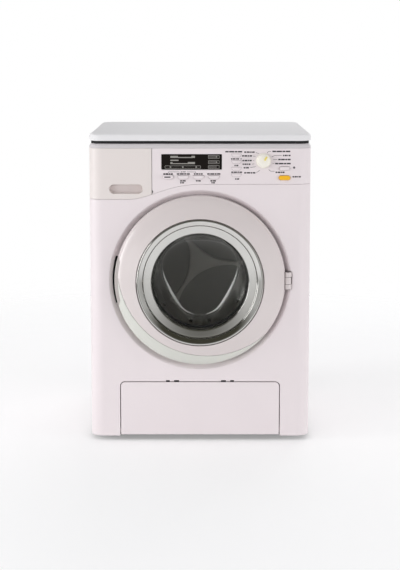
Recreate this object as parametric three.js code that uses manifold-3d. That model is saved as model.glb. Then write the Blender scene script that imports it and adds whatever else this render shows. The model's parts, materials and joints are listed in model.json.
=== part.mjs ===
// A toy front-loading washing machine, in millimetres, +Z up, front towards -Y.
// The origin is on the floor, under the middle of the machine's whole box, door included.
// Depths named "...Depth" or "...Back" run from the front panel's face towards the rear.
import * as THREE from 'three';
import { mergeVertices } from 'three/addons/utils/BufferGeometryUtils.js';
import Module from 'manifold-3d';

const wasm = await Module();
wasm.setup();

// Whole machine
const machineWidth = 185;
const machineHeight = 260;
const casingDepth = 172;
const doorProud = 13;
const wall = 2.5;
const cornerRadius = 11;
const topEdgeRadius = 4;
const deckRim = 12;
const frontReturn = 26;
const fitGap = 0.3;
const runGap = 0.15;
const cutOver = 1;
const ribWall = 1.6;

// Feet and base
const footHeight = 4;
const footRadius = 8;
const footStemRadius = 3;
const footInsetX = 18.5;
const footInsetFront = 22;
const footInsetRear = 20;
const baseThickness = 2.5;
const baseRimHeight = 9;

// Worktop
const lidThickness = 5.7;
const lidEdgeRadius = 2.2;
const lidSkin = 2.6;
const shadowGap = 1.6;
const shadowInset = 2;

// Header: the drawer front on the left and the control fascia on the right
const headerLowDrop = 54.3;
const headerHighDrop = 41.6;
const headerSeam = 0.4;
const headerCurveStartX = -60;
const headerCurveEndX = 2;
const headerCurveLead = 18;
const headerCurveTrail = 30;
const drawerEdgeX = -39.9;
const drawerSeam = 0.9;
const drawerWrap = 12;
const seamNotchRadius = 1;

// Detergent drawer
const gripCentreX = -61.5;
const gripDrop = 45.8;
const gripWidth = 28.1;
const gripHeight = 7.7;
const gripDepth = 6;
const housingLift = 1.4;
const housingLength = 53;
const housingHeight = 37;
const trayLength = 54;
const trayHeight = 27;
const trayStopHeight = 4;
const trayStopThickness = 2;
const traySlide = 0.4;
const spoutRadius = 4;
const spoutBore = 2.8;
const spoutLength = 8;
const spoutX = -52;
const spoutDepth = 42;
const hoseWall = 1.6;

// Display and controls
const displayWidth = 49.7;
const displayHeight = 12.4;
const displayGapShare = 0.1537;
const displayDrop = 23.1;
const displayFlange = 2;
const optionWidth = 9.4;
const optionHeight = 3.4;
const optionPitch = 12.65;
const optionLead = 5.3;
const optionDrop = 35.6;
const optionCount = 4;
const pillProud = 1.4;
const startGapShare = 0.1252;
const startDrop = 36.3;
const startWidth = 9.4;
const startHeight = 3.6;
const quickDrop = 28.5;
const quickWidth = 8.8;
const quickHeight = 3;
const buttonTravel = 1;
const buttonFlange = 1;
const buttonFlangeThickness = 1.2;
const reliefGapShare = 0.1556;
const reliefWidth = 8.2;
const reliefHeight = 2.4;
const reliefProud = 0.5;
const reliefDrop = 17.7;
const reliefPitch = 5.5;
const reliefCount = 4;
const knobGapShare = 0.2296;
const knobDrop = 22.1;
const knobRadius = 6.2;
const knobHeight = 8;
const knobSkirt = 2;
const knobShaftRadius = 2;
const pointerAngle = -24;
const pointerWidth = 1.2;
const pointerLength = 3.4;
const pointerRise = 0.5;
const boardThickness = 1.6;
const boardDepth = 12;
const boardLeftInset = 0.9;
const boardRightReach = 9.2;
const boardLowDrop = 39;
const boardHighDrop = 14;
const switchHeight = 3.5;
const switchSize = 4.5;
const postRadius = 1.8;
const postInset = 2.5;
const lampRadius = 0.9;
const lampLead = 7.9;
const lampDrop = 27.8;

// Porthole in the front panel
const doorZ = 137.4;
const moatRadius = 76.5;
const moatDraft = 1.5;
const moatDepth = 9;
const collarRadius = 57;
const collarDepth = 16;
const fingerDepth = 6;
const fingerReach = 6;
const fingerHalfHeight = 20;
const peg = 2.5;
const pegX = -64.5;
const pegLength = 9;
const pegPlay = 1.6;
const socketSize = 14;

// Door
const ringRadius = 70.5;
const ringInnerRadius = 53.3;
const ringRim = 2.5;
const ringRimDepth = 5.5;
const ringEdgeProud = 0.5;
const ringSkin = 2.4;
const crescentRadius = 73.6;
const crescentShiftX = 4.85;
const crescentShiftZ = 9.9;
const chromeInnerRadius = 41.2;
const chromeInnerProud = 1;
const chromeSkin = 1.8;
const bowlFlangeRadius = 46;
const bowlFlangeThickness = 2;
const bowlWall = 2;
const bowlMouthRadius = 40.4;
const bowlNeckRadius = 38;
const bowlNeckDepth = 12;
const bowlEndDepth = 30;
const bowlEndRadius = 34.6;
const bowlCrown = 1.5;
const frameLip = 3.2;
const frameBack = 5.2;

// Door hinge
const hingeX = 73.6;
const hingeProud = 0.5;
const knuckleRadius = 2.8;
const knuckleHeight = 5.6;
const bracketKnuckle = 4;
const hingePinRadius = 1.2;
const bracketThickness = 4;
const bracketBack = 8;

// Plinth flap and its recess
const flapHalfWidth = 66.6;
const flapTopZ = 50.1;
const flapReveal = 1.1;
const flapCornerRadius = 3.5;
const flapThickness = 2.4;
const flapLift = 1;
const flapAxisHeight = 5.2;
const flapAxisDepth = 3.6;
const flapStubRadius = 1.5;
const flapStubLength = 1.6;
const flapRibHeight = 3;
const recessDepth = 14;
const recessWall = 2;
const windowHeight = 1.2;
const windowOuterX = 27.1;
const windowOuterWidth = 3.2;
const windowInnerX = 19.8;
const windowInnerWidth = 4.2;
const windowDepth = 8;

// Tub and drum
const tubRadius = 66;
const tubWall = 2;
const tubFront = 22;
const tubBack = 112;
const tubMouthRadius = 54;
const tubMouthLength = 3.7;
const tubCoverThickness = 2.5;
const sumpX = 0;
const sumpDepth = 95;
const sumpRadius = 3.2;
const sumpDrop = 12;
const gasketLipRadius = 44.5;
const gasketWall = 2.2;
const gasketFront = 10;
const drumClearance = 3;
const drumSkin = 1.4;
const drumFront = 27;
const drumBack = 106;
const drumRimWidth = 13;
const drumEdgeRadius = 4;
const drumHubRadius = 9;
const drumHubLength = 4;
const holeRadius = 1.7;
const holeRows = 3;
const holesPerRow = 6;
const starTipRoom = 17;
const starTurn = -27;
const starArmWidth = 15;
const starRise = 1.5;
const paddleCount = 3;
const paddleHeight = 12;
const paddleWidth = 15;
const paddleEndGap = 5;
const shaftRadius = 4;
const shaftFrontDepth = 99;
const bushWall = 2.2;
const bossWall = 2.5;
const bossLength = 6;

// Belt drive
const pulleyBack = 119.6;
const pulleyWidth = 8;
const pulleyFlange = 1.5;
const drumPulleyRadius = 38;
const drumGrooveRadius = 35.5;
const pulleyRimThickness = 3;
const pulleyWeb = 3;
const motorPulleyRadius = 8.5;
const motorGrooveRadius = 6;
const motorShaftRadius = 1;
const motorShaftBite = 4;
const beltThickness = 1.5;
const motorX = -44;
const motorZ = 50;
const motorRadius = 12;
const motorFlat = 9.5;
const motorFront = 86;
const motorLength = 29;
const cradleWall = 2;
const cradleLength = 20;

// Power and sound
const cellLength = 50.5;
const cellRadius = 7.25;
const cellNubRadius = 2.75;
const cellNubLength = 1.2;
const cellPitch = 15.2;
const cellCount = 3;
const contactThickness = 0.6;
const contactSpringLength = 1.6;
const contactRoom = 3.2;
const contactWidth = 9;
const boxClearance = 0.4;
const coverHeight = 60;
const coverWidth = 58;
const coverScrewDrop = 4.5;
const screwHeadRadius = 2.8;
const screwHeadHeight = 1.5;
const screwShankRadius = 1.2;
const screwLength = 10;
const bossSize = 9;
const speakerX = -36;
const speakerDepth = 46;
const speakerRadius = 19;
const speakerHeight = 10;
const speakerMagnetRadius = 11;
const grilleHoleRadius = 1.8;
const grilleRingRadius = 9;
const grilleHoles = 6;
const nozzleInset = 30.5;
const nozzleZ = 32;
const nozzleRadius = 4.2;
const nozzleBore = 2.8;
const nozzleLength = 10;
const nozzleFlangeRadius = 8;
const nozzleWellRadius = 12;
const nozzleWellDepth = 12;
const pipeRadius = 5;
const pipeBore = 3.5;
const leadRadius = 1.1;
const ventWidth = 46;
const ventHeight = 2.4;
const ventPitch = 6;
const ventCount = 6;
const ventDrop = 46;

// Facets: how many sides round things have
const ringSides = 48;
const drumSides = 24;
const bowlSides = 30;
const roundSides = 24;
const smallSides = 12;
const cornerFacets = 2;
const curveFacets = 6;
const edgeFacets = 2;
const pipeSides = 8;
const pipeSteps = 14;
const leadSteps = 24;
const mergeDistance = 1e-4;

// Shapes of the crowned surfaces, as shares from the edge (0) to the crest (1)
const ringCrownShares = [[0.04, 0.2], [0.14, 0.36], [0.36, 0.58], [0.64, 0.78], [0.92, 0.95]];
const chromeSlopeShares = [[0.2, 0.13], [0.7, 0.6]];
const knobDomeShares = [[1, 0], [0.97, 0.5], [0.82, 0.82], [0.5, 0.97]];
// Radius of the bowl's end face round the compass, from straight down, as shares of its largest
const bowlEndShares = [0.8, 0.765, 0.735, 0.74, 0.81, 0.93, 1, 1, 1, 1, 1, 0.93, 0.81, 0.74, 0.735, 0.765];
const bowlMorphShares = [0.35, 0.8, 1];
// Routes of the pipe and the leads, as shares of the way across, lengthwise and up
const pipeShares = [
  [0, 0, 1], [0, 0, 0.82], [0.2, 0.15, 0.2], [0.6, 0.5, 0], [0.97, 0.75, 0], [1, 0.92, 0], [1, 1, 0],
];
const batteryLeadShares = [
  [0.2, 0.05, 0], [0.34, 0.05, 0.01], [0.87, 0.1, 0.05], [1, 0.33, 0.1],
  [1, 0.66, 0.25], [1, 0.88, 0.7], [0.975, 0.985, 0.92], [0.95, 1, 1],
];
const motorLeadShares = [
  [0, 0, 0.168], [0, 0.03, 0.163], [0.15, 0.125, 0.067], [0.4, 0.25, 0], [0.8, 0.31, 0],
  [1, 0.41, 0.168], [1, 0.69, 0.59], [0.93, 0.94, 0.934], [0.9, 1, 1],
];

// Places that follow from the sizes above
const frontY = (doorProud - casingDepth) / 2;
const rearY = frontY + casingDepth;
const middleY = (frontY + rearY) / 2;
const halfWidth = machineWidth / 2;
const casingBottom = footHeight;
const casingTop = machineHeight - lidThickness - shadowGap;
const headerLowZ = machineHeight - headerLowDrop;
const headerHighZ = machineHeight - headerHighDrop;
const gripCentreZ = machineHeight - gripDrop;

// The controls stand in one row from the drawer's edge, and their gaps share the width that is left
const controlsWidth = displayWidth + reliefWidth + 2 * knobRadius + startWidth;
const controlRoom = halfWidth - drawerEdgeX - controlsWidth;
const displayLeftX = drawerEdgeX + displayGapShare * controlRoom;
const reliefLeftX = displayLeftX + displayWidth + reliefGapShare * controlRoom;
const knobLeftX = reliefLeftX + reliefWidth + knobGapShare * controlRoom;
const startLeftX = knobLeftX + 2 * knobRadius + startGapShare * controlRoom;
const displayCentreX = displayLeftX + displayWidth / 2;
const displayCentreZ = machineHeight - displayDrop;
const optionFirstX = displayLeftX + optionLead;
const optionZ = machineHeight - optionDrop;
const reliefX = reliefLeftX + reliefWidth / 2;
const reliefTopZ = machineHeight - reliefDrop;
const knobX = knobLeftX + knobRadius;
const knobZ = machineHeight - knobDrop;
const startX = startLeftX + startWidth / 2;
const startZ = machineHeight - startDrop;
const quickX = startX;
const quickZ = machineHeight - quickDrop;
const lampX = startX + lampLead;
const lampZ = machineHeight - lampDrop;
const boardLeftX = drawerEdgeX + boardLeftInset;
const boardRightX = startX + startWidth / 2 + boardRightReach;
const boardLowZ = machineHeight - boardLowDrop;
const boardHighZ = machineHeight - boardHighDrop;

// The drum follows its tub, and the rear fittings follow the casing
const drumRadius = tubRadius - tubWall - drumClearance;
const drumMouthRadius = drumRadius - drumRimWidth;
const starArmLength = drumRadius - starTipRoom;
const nozzleX = halfWidth - nozzleInset;
const ventTopZ = machineHeight - ventDrop;
const seamY = frontY + frontReturn;
const floorTop = casingBottom + baseThickness;
const innerHalf = halfWidth - wall;
const recessTopZ = flapTopZ + flapReveal;
const recessHalf = flapHalfWidth + flapReveal;

// Geometry helpers

function solid(geometry) {
  const bare = new THREE.BufferGeometry();
  bare.setAttribute('position', geometry.getAttribute('position'));
  bare.setIndex(geometry.getIndex());
  const merged = mergeVertices(bare, mergeDistance);
  const points = merged.getAttribute('position');
  const corners = merged.getIndex().array;
  const faces = [];
  for (let i = 0; i < corners.length; i += 3) {
    const [a, b, c] = [corners[i], corners[i + 1], corners[i + 2]];
    if (a !== b && b !== c && c !== a) faces.push(a, b, c);
  }
  if (signedVolume(points, faces) < 0) faces.reverse();
  return new wasm.Manifold(new wasm.Mesh({
    numProp: 3,
    vertProperties: Float32Array.from(points.array),
    triVerts: Uint32Array.from(faces),
  }));
}

function signedVolume(points, faces) {
  const [a, b, c] = [new THREE.Vector3(), new THREE.Vector3(), new THREE.Vector3()];
  let sum = 0;
  for (let i = 0; i < faces.length; i += 3) {
    a.fromBufferAttribute(points, faces[i]);
    b.fromBufferAttribute(points, faces[i + 1]);
    c.fromBufferAttribute(points, faces[i + 2]);
    sum += a.dot(b.cross(c));
  }
  return sum;
}

function joined(...solids) {
  return solids.reduce((whole, next) => whole.add(next));
}

function cut(whole, ...tools) {
  return tools.reduce((left, tool) => left.subtract(tool), whole);
}

function geometryOf(manifold) {
  const { vertProperties, triVerts } = manifold.getMesh();
  const geometry = new THREE.BufferGeometry();
  geometry.setAttribute('position', new THREE.BufferAttribute(Float32Array.from(vertProperties), 3));
  geometry.setIndex(new THREE.BufferAttribute(Uint32Array.from(triVerts), 1));
  geometry.computeVertexNormals();
  return geometry;
}

function block(x0, x1, y0, y1, z0, z1) {
  const geometry = new THREE.BoxGeometry(x1 - x0, y1 - y0, z1 - z0);
  geometry.translate((x0 + x1) / 2, (y0 + y1) / 2, (z0 + z1) / 2);
  return solid(geometry);
}

function rodY(radius, y0, y1, x = 0, z = 0, sides = roundSides) {
  const geometry = new THREE.CylinderGeometry(radius, radius, y1 - y0, sides);
  geometry.translate(x, (y0 + y1) / 2, z);
  return solid(geometry);
}

function rodZ(radius, z0, z1, x = 0, y = 0, sides = smallSides) {
  const geometry = new THREE.CylinderGeometry(radius, radius, z1 - z0, sides);
  geometry.rotateX(Math.PI / 2);
  geometry.translate(x, y, (z0 + z1) / 2);
  return solid(geometry);
}

function rodX(radius, x0, x1, y = 0, z = 0, sides = smallSides) {
  const geometry = new THREE.CylinderGeometry(radius, radius, x1 - x0, sides);
  geometry.rotateZ(Math.PI / 2);
  geometry.translate((x0 + x1) / 2, y, z);
  return solid(geometry);
}

// Revolved about the Y axis from a closed profile of [radius, y] points
function turned(profile, sides = ringSides) {
  const points = profile.map(([r, y]) => new THREE.Vector2(r, y));
  if (points[0].x > 0 || points.at(-1).x > 0) points.push(points[0].clone());
  return solid(new THREE.LatheGeometry(points, sides));
}

// Revolved about the Z axis from a closed profile of [radius, z] points
function turnedZ(profile, sides = smallSides) {
  return turned(profile, sides).rotate([90, 0, 0]);
}

function extruded(shape, length, bevel, facets) {
  const geometry = new THREE.ExtrudeGeometry(shape, {
    depth: length - 2 * bevel,
    steps: 1,
    curveSegments: facets,
    bevelEnabled: bevel > 0,
    bevelSize: bevel,
    bevelThickness: bevel,
    bevelOffset: -bevel,
    bevelSegments: edgeFacets,
  });
  geometry.translate(0, 0, bevel);
  return geometry;
}

function alongZ(shape, z0, z1, bevel = 0, facets = cornerFacets) {
  const geometry = extruded(shape, z1 - z0, bevel, facets);
  geometry.translate(0, 0, z0);
  return solid(geometry);
}

// The shape is drawn as (x, z) and runs from y0 to y1
function alongY(shape, y0, y1, bevel = 0, facets = cornerFacets) {
  const geometry = extruded(shape, y1 - y0, bevel, facets);
  geometry.rotateX(Math.PI / 2);
  geometry.translate(0, y1, 0);
  return solid(geometry);
}

function roundedRect(width, height, radius, x = 0, y = 0) {
  const shape = new THREE.Shape();
  const dx = width / 2 - radius;
  const dy = height / 2 - radius;
  const quarter = Math.PI / 2;
  shape.absarc(x + dx, y - dy, radius, -quarter, 0, false);
  shape.absarc(x + dx, y + dy, radius, 0, quarter, false);
  shape.absarc(x - dx, y + dy, radius, quarter, 2 * quarter, false);
  shape.absarc(x - dx, y - dy, radius, 2 * quarter, 3 * quarter, false);
  shape.closePath();
  return shape;
}

function pill(width, height, x, z) {
  const radius = height / 2;
  const dx = width / 2 - radius;
  const quarter = Math.PI / 2;
  const shape = new THREE.Shape();
  shape.absarc(x + dx, z, radius, -quarter, quarter, false);
  shape.absarc(x - dx, z, radius, quarter, 3 * quarter, false);
  shape.closePath();
  return shape;
}

function polygon(points) {
  return new THREE.Shape(points.map(([x, y]) => new THREE.Vector2(x, y)));
}

// Points of a route given as shares of the way from one corner to the opposite one
function routed(shares, from, to) {
  return shares.map((point) => point.map((share, k) => lerp(from[k], to[k], share)));
}

function tubeAlong(points, radius, bore, steps) {
  const section = new THREE.Shape();
  section.absarc(0, 0, radius, 0, 2 * Math.PI, false);
  if (bore > 0) {
    const hole = new THREE.Path();
    hole.absarc(0, 0, bore, 0, 2 * Math.PI, true);
    section.holes.push(hole);
  }
  const route = new THREE.CatmullRomCurve3(points.map(([x, y, z]) => new THREE.Vector3(x, y, z)));
  return solid(new THREE.ExtrudeGeometry(section, {
    steps,
    curveSegments: pipeSides / 2,
    bevelEnabled: false,
    extrudePath: route,
  }));
}

// A closed skin through rings of equal point counts, ended by a fan at each end's middle
function lofted(rings) {
  const count = rings[0].length;
  const positions = rings.flat().flatMap((p) => p.toArray());
  const middle = (ring) => ring.reduce((sum, p) => sum.add(p), new THREE.Vector3()).divideScalar(count);
  positions.push(...middle(rings[0]).toArray(), ...middle(rings.at(-1)).toArray());
  const index = [];
  for (let k = 0; k < rings.length - 1; k += 1) {
    for (let i = 0; i < count; i += 1) {
      const a = k * count + i;
      const b = k * count + ((i + 1) % count);
      index.push(a, b, b + count, a, b + count, a + count);
    }
  }
  const first = rings.length * count;
  const last = (rings.length - 1) * count;
  for (let i = 0; i < count; i += 1) {
    const next = (i + 1) % count;
    index.push(first, next, i);
    index.push(first + 1, last + i, last + next);
  }
  const geometry = new THREE.BufferGeometry();
  geometry.setAttribute('position', new THREE.Float32BufferAttribute(positions, 3));
  geometry.setIndex(index);
  return solid(geometry);
}

// Casing

function casingBlock(inset, top, edge) {
  const width = machineWidth - 2 * inset;
  const depth = casingDepth - 2 * inset;
  const plan = roundedRect(width, depth, cornerRadius - inset, 0, middleY);
  return alongZ(plan, casingBottom - 2 * edge - cutOver, top, edge);
}

function casingShell() {
  const opening = roundedRect(machineWidth - 2 * deckRim, casingDepth - 2 * deckRim, wall, 0, middleY);
  const hollow = casingBlock(wall, casingTop - wall, topEdgeRadius - wall);
  const deckHole = alongZ(opening, casingTop - wall - cutOver, casingTop + cutOver);
  const below = block(-machineWidth, machineWidth, -casingDepth, casingDepth, -machineHeight, casingBottom);
  return cut(casingBlock(0, casingTop, topEdgeRadius), hollow, deckHole, below);
}

function headerBlock(drop) {
  const low = headerLowZ - drop;
  const high = headerHighZ - drop;
  const edge = halfWidth + cutOver;
  const shape = new THREE.Shape();
  shape.moveTo(-edge, low);
  shape.lineTo(headerCurveStartX, low);
  shape.bezierCurveTo(
    headerCurveStartX + headerCurveLead, low,
    headerCurveEndX - headerCurveTrail, high,
    headerCurveEndX, high,
  );
  shape.lineTo(edge, high);
  shape.lineTo(edge, machineHeight);
  shape.lineTo(-edge, machineHeight);
  shape.closePath();
  return alongY(shape, frontY - cutOver, seamY + cutOver, 0, curveFacets);
}

function leftOf(x, y1) {
  return block(-machineWidth, x, -casingDepth, y1, 0, machineHeight);
}

function frontZone() {
  return block(-machineWidth, machineWidth, -casingDepth, seamY, -cutOver, machineHeight);
}

// The dish that the door sinks into, and the collar behind it
function dish() {
  const floorRadius = moatRadius - moatDraft;
  const profile = [
    [moatRadius, 0],
    [floorRadius, moatDepth],
    [collarRadius, moatDepth],
    [collarRadius, collarDepth],
    [collarRadius + wall, collarDepth],
    [collarRadius + wall, moatDepth + wall],
    [floorRadius + wall, moatDepth + wall],
    [moatRadius + wall, wall],
    [moatRadius + wall, 0],
  ];
  return turned(profile).translate([0, frontY, doorZ]);
}

function flapOpening(y0, y1, reveal, bottom) {
  const half = flapHalfWidth + reveal;
  const top = flapTopZ + reveal;
  const radius = flapCornerRadius + reveal;
  const shape = new THREE.Shape();
  shape.moveTo(-half, bottom);
  shape.lineTo(half, bottom);
  shape.absarc(half - radius, top - radius, radius, 0, Math.PI / 2, false);
  shape.absarc(-half + radius, top - radius, radius, Math.PI / 2, Math.PI, false);
  shape.closePath();
  return alongY(shape, y0, y1);
}

function bracketSlot(grow) {
  const half = knuckleHeight / 2 + fitGap + bracketKnuckle + grow;
  const x0 = hingeX + knuckleRadius + fitGap + fitGap - grow;
  return block(
    x0, moatRadius + wall + bracketThickness / 2 + grow,
    frontY + wall + fitGap - grow, frontY + bracketBack + grow,
    doorZ - half, doorZ + half,
  );
}

function frontShell(shell) {
  const header = cut(headerBlock(headerSeam), leftOf(drawerEdgeX, rearY)
    .subtract(leftOf(drawerEdgeX, frontY + drawerWrap + fitGap)));
  const wallHole = rodY(
    moatRadius + wall / 2, frontY - cutOver, frontY + wall + cutOver, 0, doorZ, ringSides,
  );
  const fingerX = -moatRadius + moatDraft;
  const fingerBox = (grow) => block(
    fingerX - fingerReach - grow, fingerX + wall,
    frontY + wall - grow, frontY + moatDepth + fingerDepth + grow,
    doorZ - fingerHalfHeight - grow, doorZ + fingerHalfHeight + grow,
  );
  const fingerOuter = fingerBox(wall / 2).subtract(
    rodY(moatRadius - moatDraft, frontY, frontY + moatDepth, 0, doorZ, ringSides),
  );
  const pegSlot = block(
    pegX - peg - pegPlay, pegX + peg + fitGap,
    frontY + moatDepth - cutOver, frontY + moatDepth + wall + cutOver,
    doorZ - peg - fitGap, doorZ + peg + fitGap,
  );
  const recess = block(
    -recessHalf - recessWall, recessHalf + recessWall,
    frontY + wall / 2, frontY + recessDepth + recessWall,
    floorTop + fitGap, recessTopZ + recessWall,
  );
  const flapHole = flapOpening(frontY - cutOver, frontY + recessDepth, flapReveal, -cutOver);
  const stubHole = rodX(
    flapStubRadius + fitGap, -recessHalf - recessWall - cutOver, recessHalf + recessWall + cutOver,
    frontY + flapAxisDepth, casingBottom + flapAxisHeight,
  );
  const windows = [[windowOuterX, windowOuterWidth], [windowInnerX, windowInnerWidth]].flatMap(([x, width]) =>
    [-x, x].map((centre) => block(
      centre - width / 2, centre + width / 2,
      frontY - cutOver, frontY + windowDepth,
      recessTopZ - fitGap, recessTopZ + windowHeight,
    )));
  const body = joined(
    cut(shell.intersect(frontZone()), header, wallHole),
    dish(), fingerOuter, recess,
  );
  const knuckles = knuckleHeight / 2 + 2 * fitGap + bracketKnuckle;
  const knuckleRoom = block(
    hingeX - knuckleRadius, hingeX + knuckleRadius + 2 * fitGap,
    frontY - cutOver, frontY + bracketBack + fitGap, doorZ - knuckles, doorZ + knuckles,
  );
  return cut(body, fingerBox(0), pegSlot, bracketSlot(fitGap), knuckleRoom, flapHole, stubHole, ...windows);
}

function rearShell(shell) {
  const body = shell.subtract(block(
    -machineWidth, machineWidth, -casingDepth, seamY + fitGap, -cutOver, machineHeight,
  ));
  const coverHole = block(
    -coverWidth / 2 - fitGap, coverWidth / 2 + fitGap,
    rearY - wall - cutOver, rearY + cutOver,
    floorTop - fitGap, floorTop + coverHeight + fitGap,
  );
  const wellOuter = rodY(
    nozzleWellRadius + wall, rearY - nozzleWellDepth - wall, rearY - wall / 2, nozzleX, nozzleZ,
  );
  const well = rodY(nozzleWellRadius, rearY - nozzleWellDepth, rearY + cutOver, nozzleX, nozzleZ);
  const throat = rodY(
    nozzleRadius + fitGap, rearY - nozzleWellDepth - wall - cutOver, rearY, nozzleX, nozzleZ, smallSides,
  );
  const vents = Array.from({ length: ventCount }, (_, i) => block(
    -ventWidth / 2, ventWidth / 2, rearY - wall - cutOver, rearY + cutOver,
    ventTopZ - i * ventPitch - ventHeight, ventTopZ - i * ventPitch,
  ));
  return cut(joined(body, wellOuter), well, throat, coverHole, ...vents);
}

function footPlaces() {
  const x = halfWidth - footInsetX;
  const front = frontY + footInsetFront;
  const rear = rearY - footInsetRear;
  return [
    ['front_left', -x, front], ['front_right', x, front],
    ['rear_left', -x, rear], ['rear_right', x, rear],
  ];
}

function batterySizes() {
  const halfLength = cellLength / 2 + contactRoom;
  const depth = 2 * (cellRadius + boxClearance);
  const rear = rearY - wall - fitGap;
  const low = floorTop + fitGap;
  const height = (cellCount - 1) * cellPitch + 2 * (cellRadius + boxClearance);
  return { halfLength, depth, rear, low, height };
}

function baseTray() {
  const inset = wall + fitGap;
  const outline = (grow) => roundedRect(
    machineWidth - 2 * (inset + grow), casingDepth - 2 * (inset + grow),
    cornerRadius - inset - grow, 0, middleY,
  );
  const plate = alongZ(outline(0), casingBottom, floorTop);
  const swing = Math.hypot(flapAxisHeight, flapAxisDepth);
  const flapNotch = block(
    -recessHalf - fitGap, recessHalf + fitGap,
    frontY - cutOver, frontY + flapAxisDepth + swing + fitGap,
    -cutOver, floorTop + cutOver,
  );
  const { halfLength, rear } = batterySizes();
  const rimClear = [
    block(-machineWidth, machineWidth, -casingDepth, frontY + recessDepth + 2 * recessWall, 0, machineHeight),
    block(
      -halfLength - 2 * ribWall, halfLength + 2 * ribWall,
      rear - 2 * ribWall - wall, rear + wall, floorTop, machineHeight,
    ),
    block(
      nozzleX - nozzleWellRadius - 2 * wall, nozzleX + nozzleWellRadius + 2 * wall,
      rear - 2 * ribWall - wall, rear + wall, nozzleZ - nozzleWellRadius - 2 * wall, machineHeight,
    ),
  ];
  const rim = cut(
    alongZ(outline(0), floorTop, floorTop + baseRimHeight),
    alongZ(outline(ribWall), floorTop - cutOver, floorTop + baseRimHeight + cutOver),
    ...rimClear,
  );
  const stems = footPlaces().map(([, x, y]) => rodZ(footStemRadius + fitGap, 0, floorTop + cutOver, x, y));
  const grille = [[0, 0]];
  for (let i = 0; i < grilleHoles; i += 1) {
    const turn = (i / grilleHoles) * 2 * Math.PI;
    grille.push([grilleRingRadius * Math.cos(turn), grilleRingRadius * Math.sin(turn)]);
  }
  const grilleRods = grille.map(([x, y]) =>
    rodZ(grilleHoleRadius, 0, floorTop + cutOver, speakerX + x, frontY + speakerDepth + y, smallSides / 2));
  return cut(joined(plate, rim), flapNotch, ...stems, ...grilleRods);
}

function foot() {
  return turnedZ([
    [0, 0],
    [footRadius - fitGap, 0],
    [footRadius, fitGap],
    [footRadius, footHeight - fitGap],
    [footStemRadius, footHeight - fitGap],
    [footStemRadius, footHeight + baseThickness],
    [0, footHeight + baseThickness],
  ]);
}

function worktop() {
  const plan = roundedRect(machineWidth, casingDepth, cornerRadius, 0, middleY);
  const low = machineHeight - lidThickness;
  const pocket = roundedRect(machineWidth - 2 * deckRim, casingDepth - 2 * deckRim, wall, 0, middleY);
  return cut(
    alongZ(plan, low, machineHeight, lidEdgeRadius),
    alongZ(pocket, low - cutOver, machineHeight - lidSkin),
  );
}

function worktopSpacer() {
  const outer = roundedRect(
    machineWidth - 2 * shadowInset, casingDepth - 2 * shadowInset, cornerRadius - shadowInset, 0, middleY,
  );
  const inner = roundedRect(machineWidth - 2 * deckRim, casingDepth - 2 * deckRim, wall, 0, middleY);
  const low = casingTop + fitGap;
  const high = machineHeight - lidThickness - fitGap;
  return alongZ(outer, low, high).subtract(alongZ(inner, low - cutOver, high + cutOver));
}

// Control fascia, window and circuit board

function optionX(i) {
  return optionFirstX + i * optionPitch;
}

function controlFascia(shell) {
  const plate = cut(
    shell.intersect(frontZone()).intersect(headerBlock(0)),
    leftOf(drawerEdgeX + drawerSeam / 2, rearY),
    rodY(seamNotchRadius, frontY - cutOver, frontY + wall + cutOver, drawerEdgeX + drawerSeam / 2,
      headerHighZ - (headerHighZ - headerLowZ) / 2, smallSides),
  );
  const y0 = frontY - cutOver;
  const y1 = frontY + wall + cutOver;
  const relief = Array.from({ length: reliefCount }, (_, i) => alongY(
    pill(reliefWidth, reliefHeight, reliefX, reliefTopZ - i * reliefPitch),
    frontY - reliefProud, frontY + wall / 2,
  ));
  const postZ = [boardLowZ + postInset, boardHighZ - postInset];
  const posts = postZ.flatMap((z) => [boardLeftX + postInset, boardRightX - postInset].map((x) =>
    rodY(postRadius, frontY + wall / 2, frontY + boardDepth - fitGap, x, z, smallSides / 2)));
  const windowShape = roundedRect(
    displayWidth + 2 * fitGap, displayHeight + 2 * fitGap, fitGap, displayCentreX, displayCentreZ,
  );
  const holes = Array.from({ length: optionCount }, (_, i) => alongY(
    pill(optionWidth + 2 * fitGap, optionHeight + 2 * fitGap, optionX(i), optionZ), y0, y1,
  ));
  holes.push(alongY(pill(startWidth + 2 * fitGap, startHeight + 2 * fitGap, startX, startZ), y0, y1));
  holes.push(alongY(pill(quickWidth + 2 * fitGap, quickHeight + 2 * fitGap, quickX, quickZ), y0, y1));
  holes.push(rodY(knobShaftRadius + runGap, y0, y1, knobX, knobZ));
  holes.push(rodY(lampRadius, y0, y1, lampX, lampZ, smallSides / 2));
  holes.push(alongY(windowShape, y0, y1));
  return cut(joined(plate, ...relief, ...posts), ...holes);
}

function displayWindow() {
  const face = roundedRect(displayWidth, displayHeight, fitGap, 0, 0);
  const rim = 2 * displayFlange;
  const flange = roundedRect(displayWidth + rim, displayHeight + rim, fitGap, 0, 0);
  const back = wall + fitGap + displayFlange / 2;
  return joined(alongY(face, fitGap / 2, back, 0, 1), alongY(flange, wall + fitGap, back, 0, 1));
}

// Button cap, retaining flange and stem, centred on its own hole
function button(width, height) {
  const stemEnd = boardDepth - switchHeight - buttonTravel - fitGap;
  const flangeFront = wall + fitGap;
  return joined(
    alongY(pill(width, height, 0, 0), -pillProud, flangeFront + fitGap, fitGap),
    alongY(pill(width + 2 * buttonFlange, height + 2 * buttonFlange, 0, 0),
      flangeFront, flangeFront + buttonFlangeThickness),
    rodY(height / 3, flangeFront, stemEnd, 0, 0, smallSides / 2),
  );
}

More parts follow.
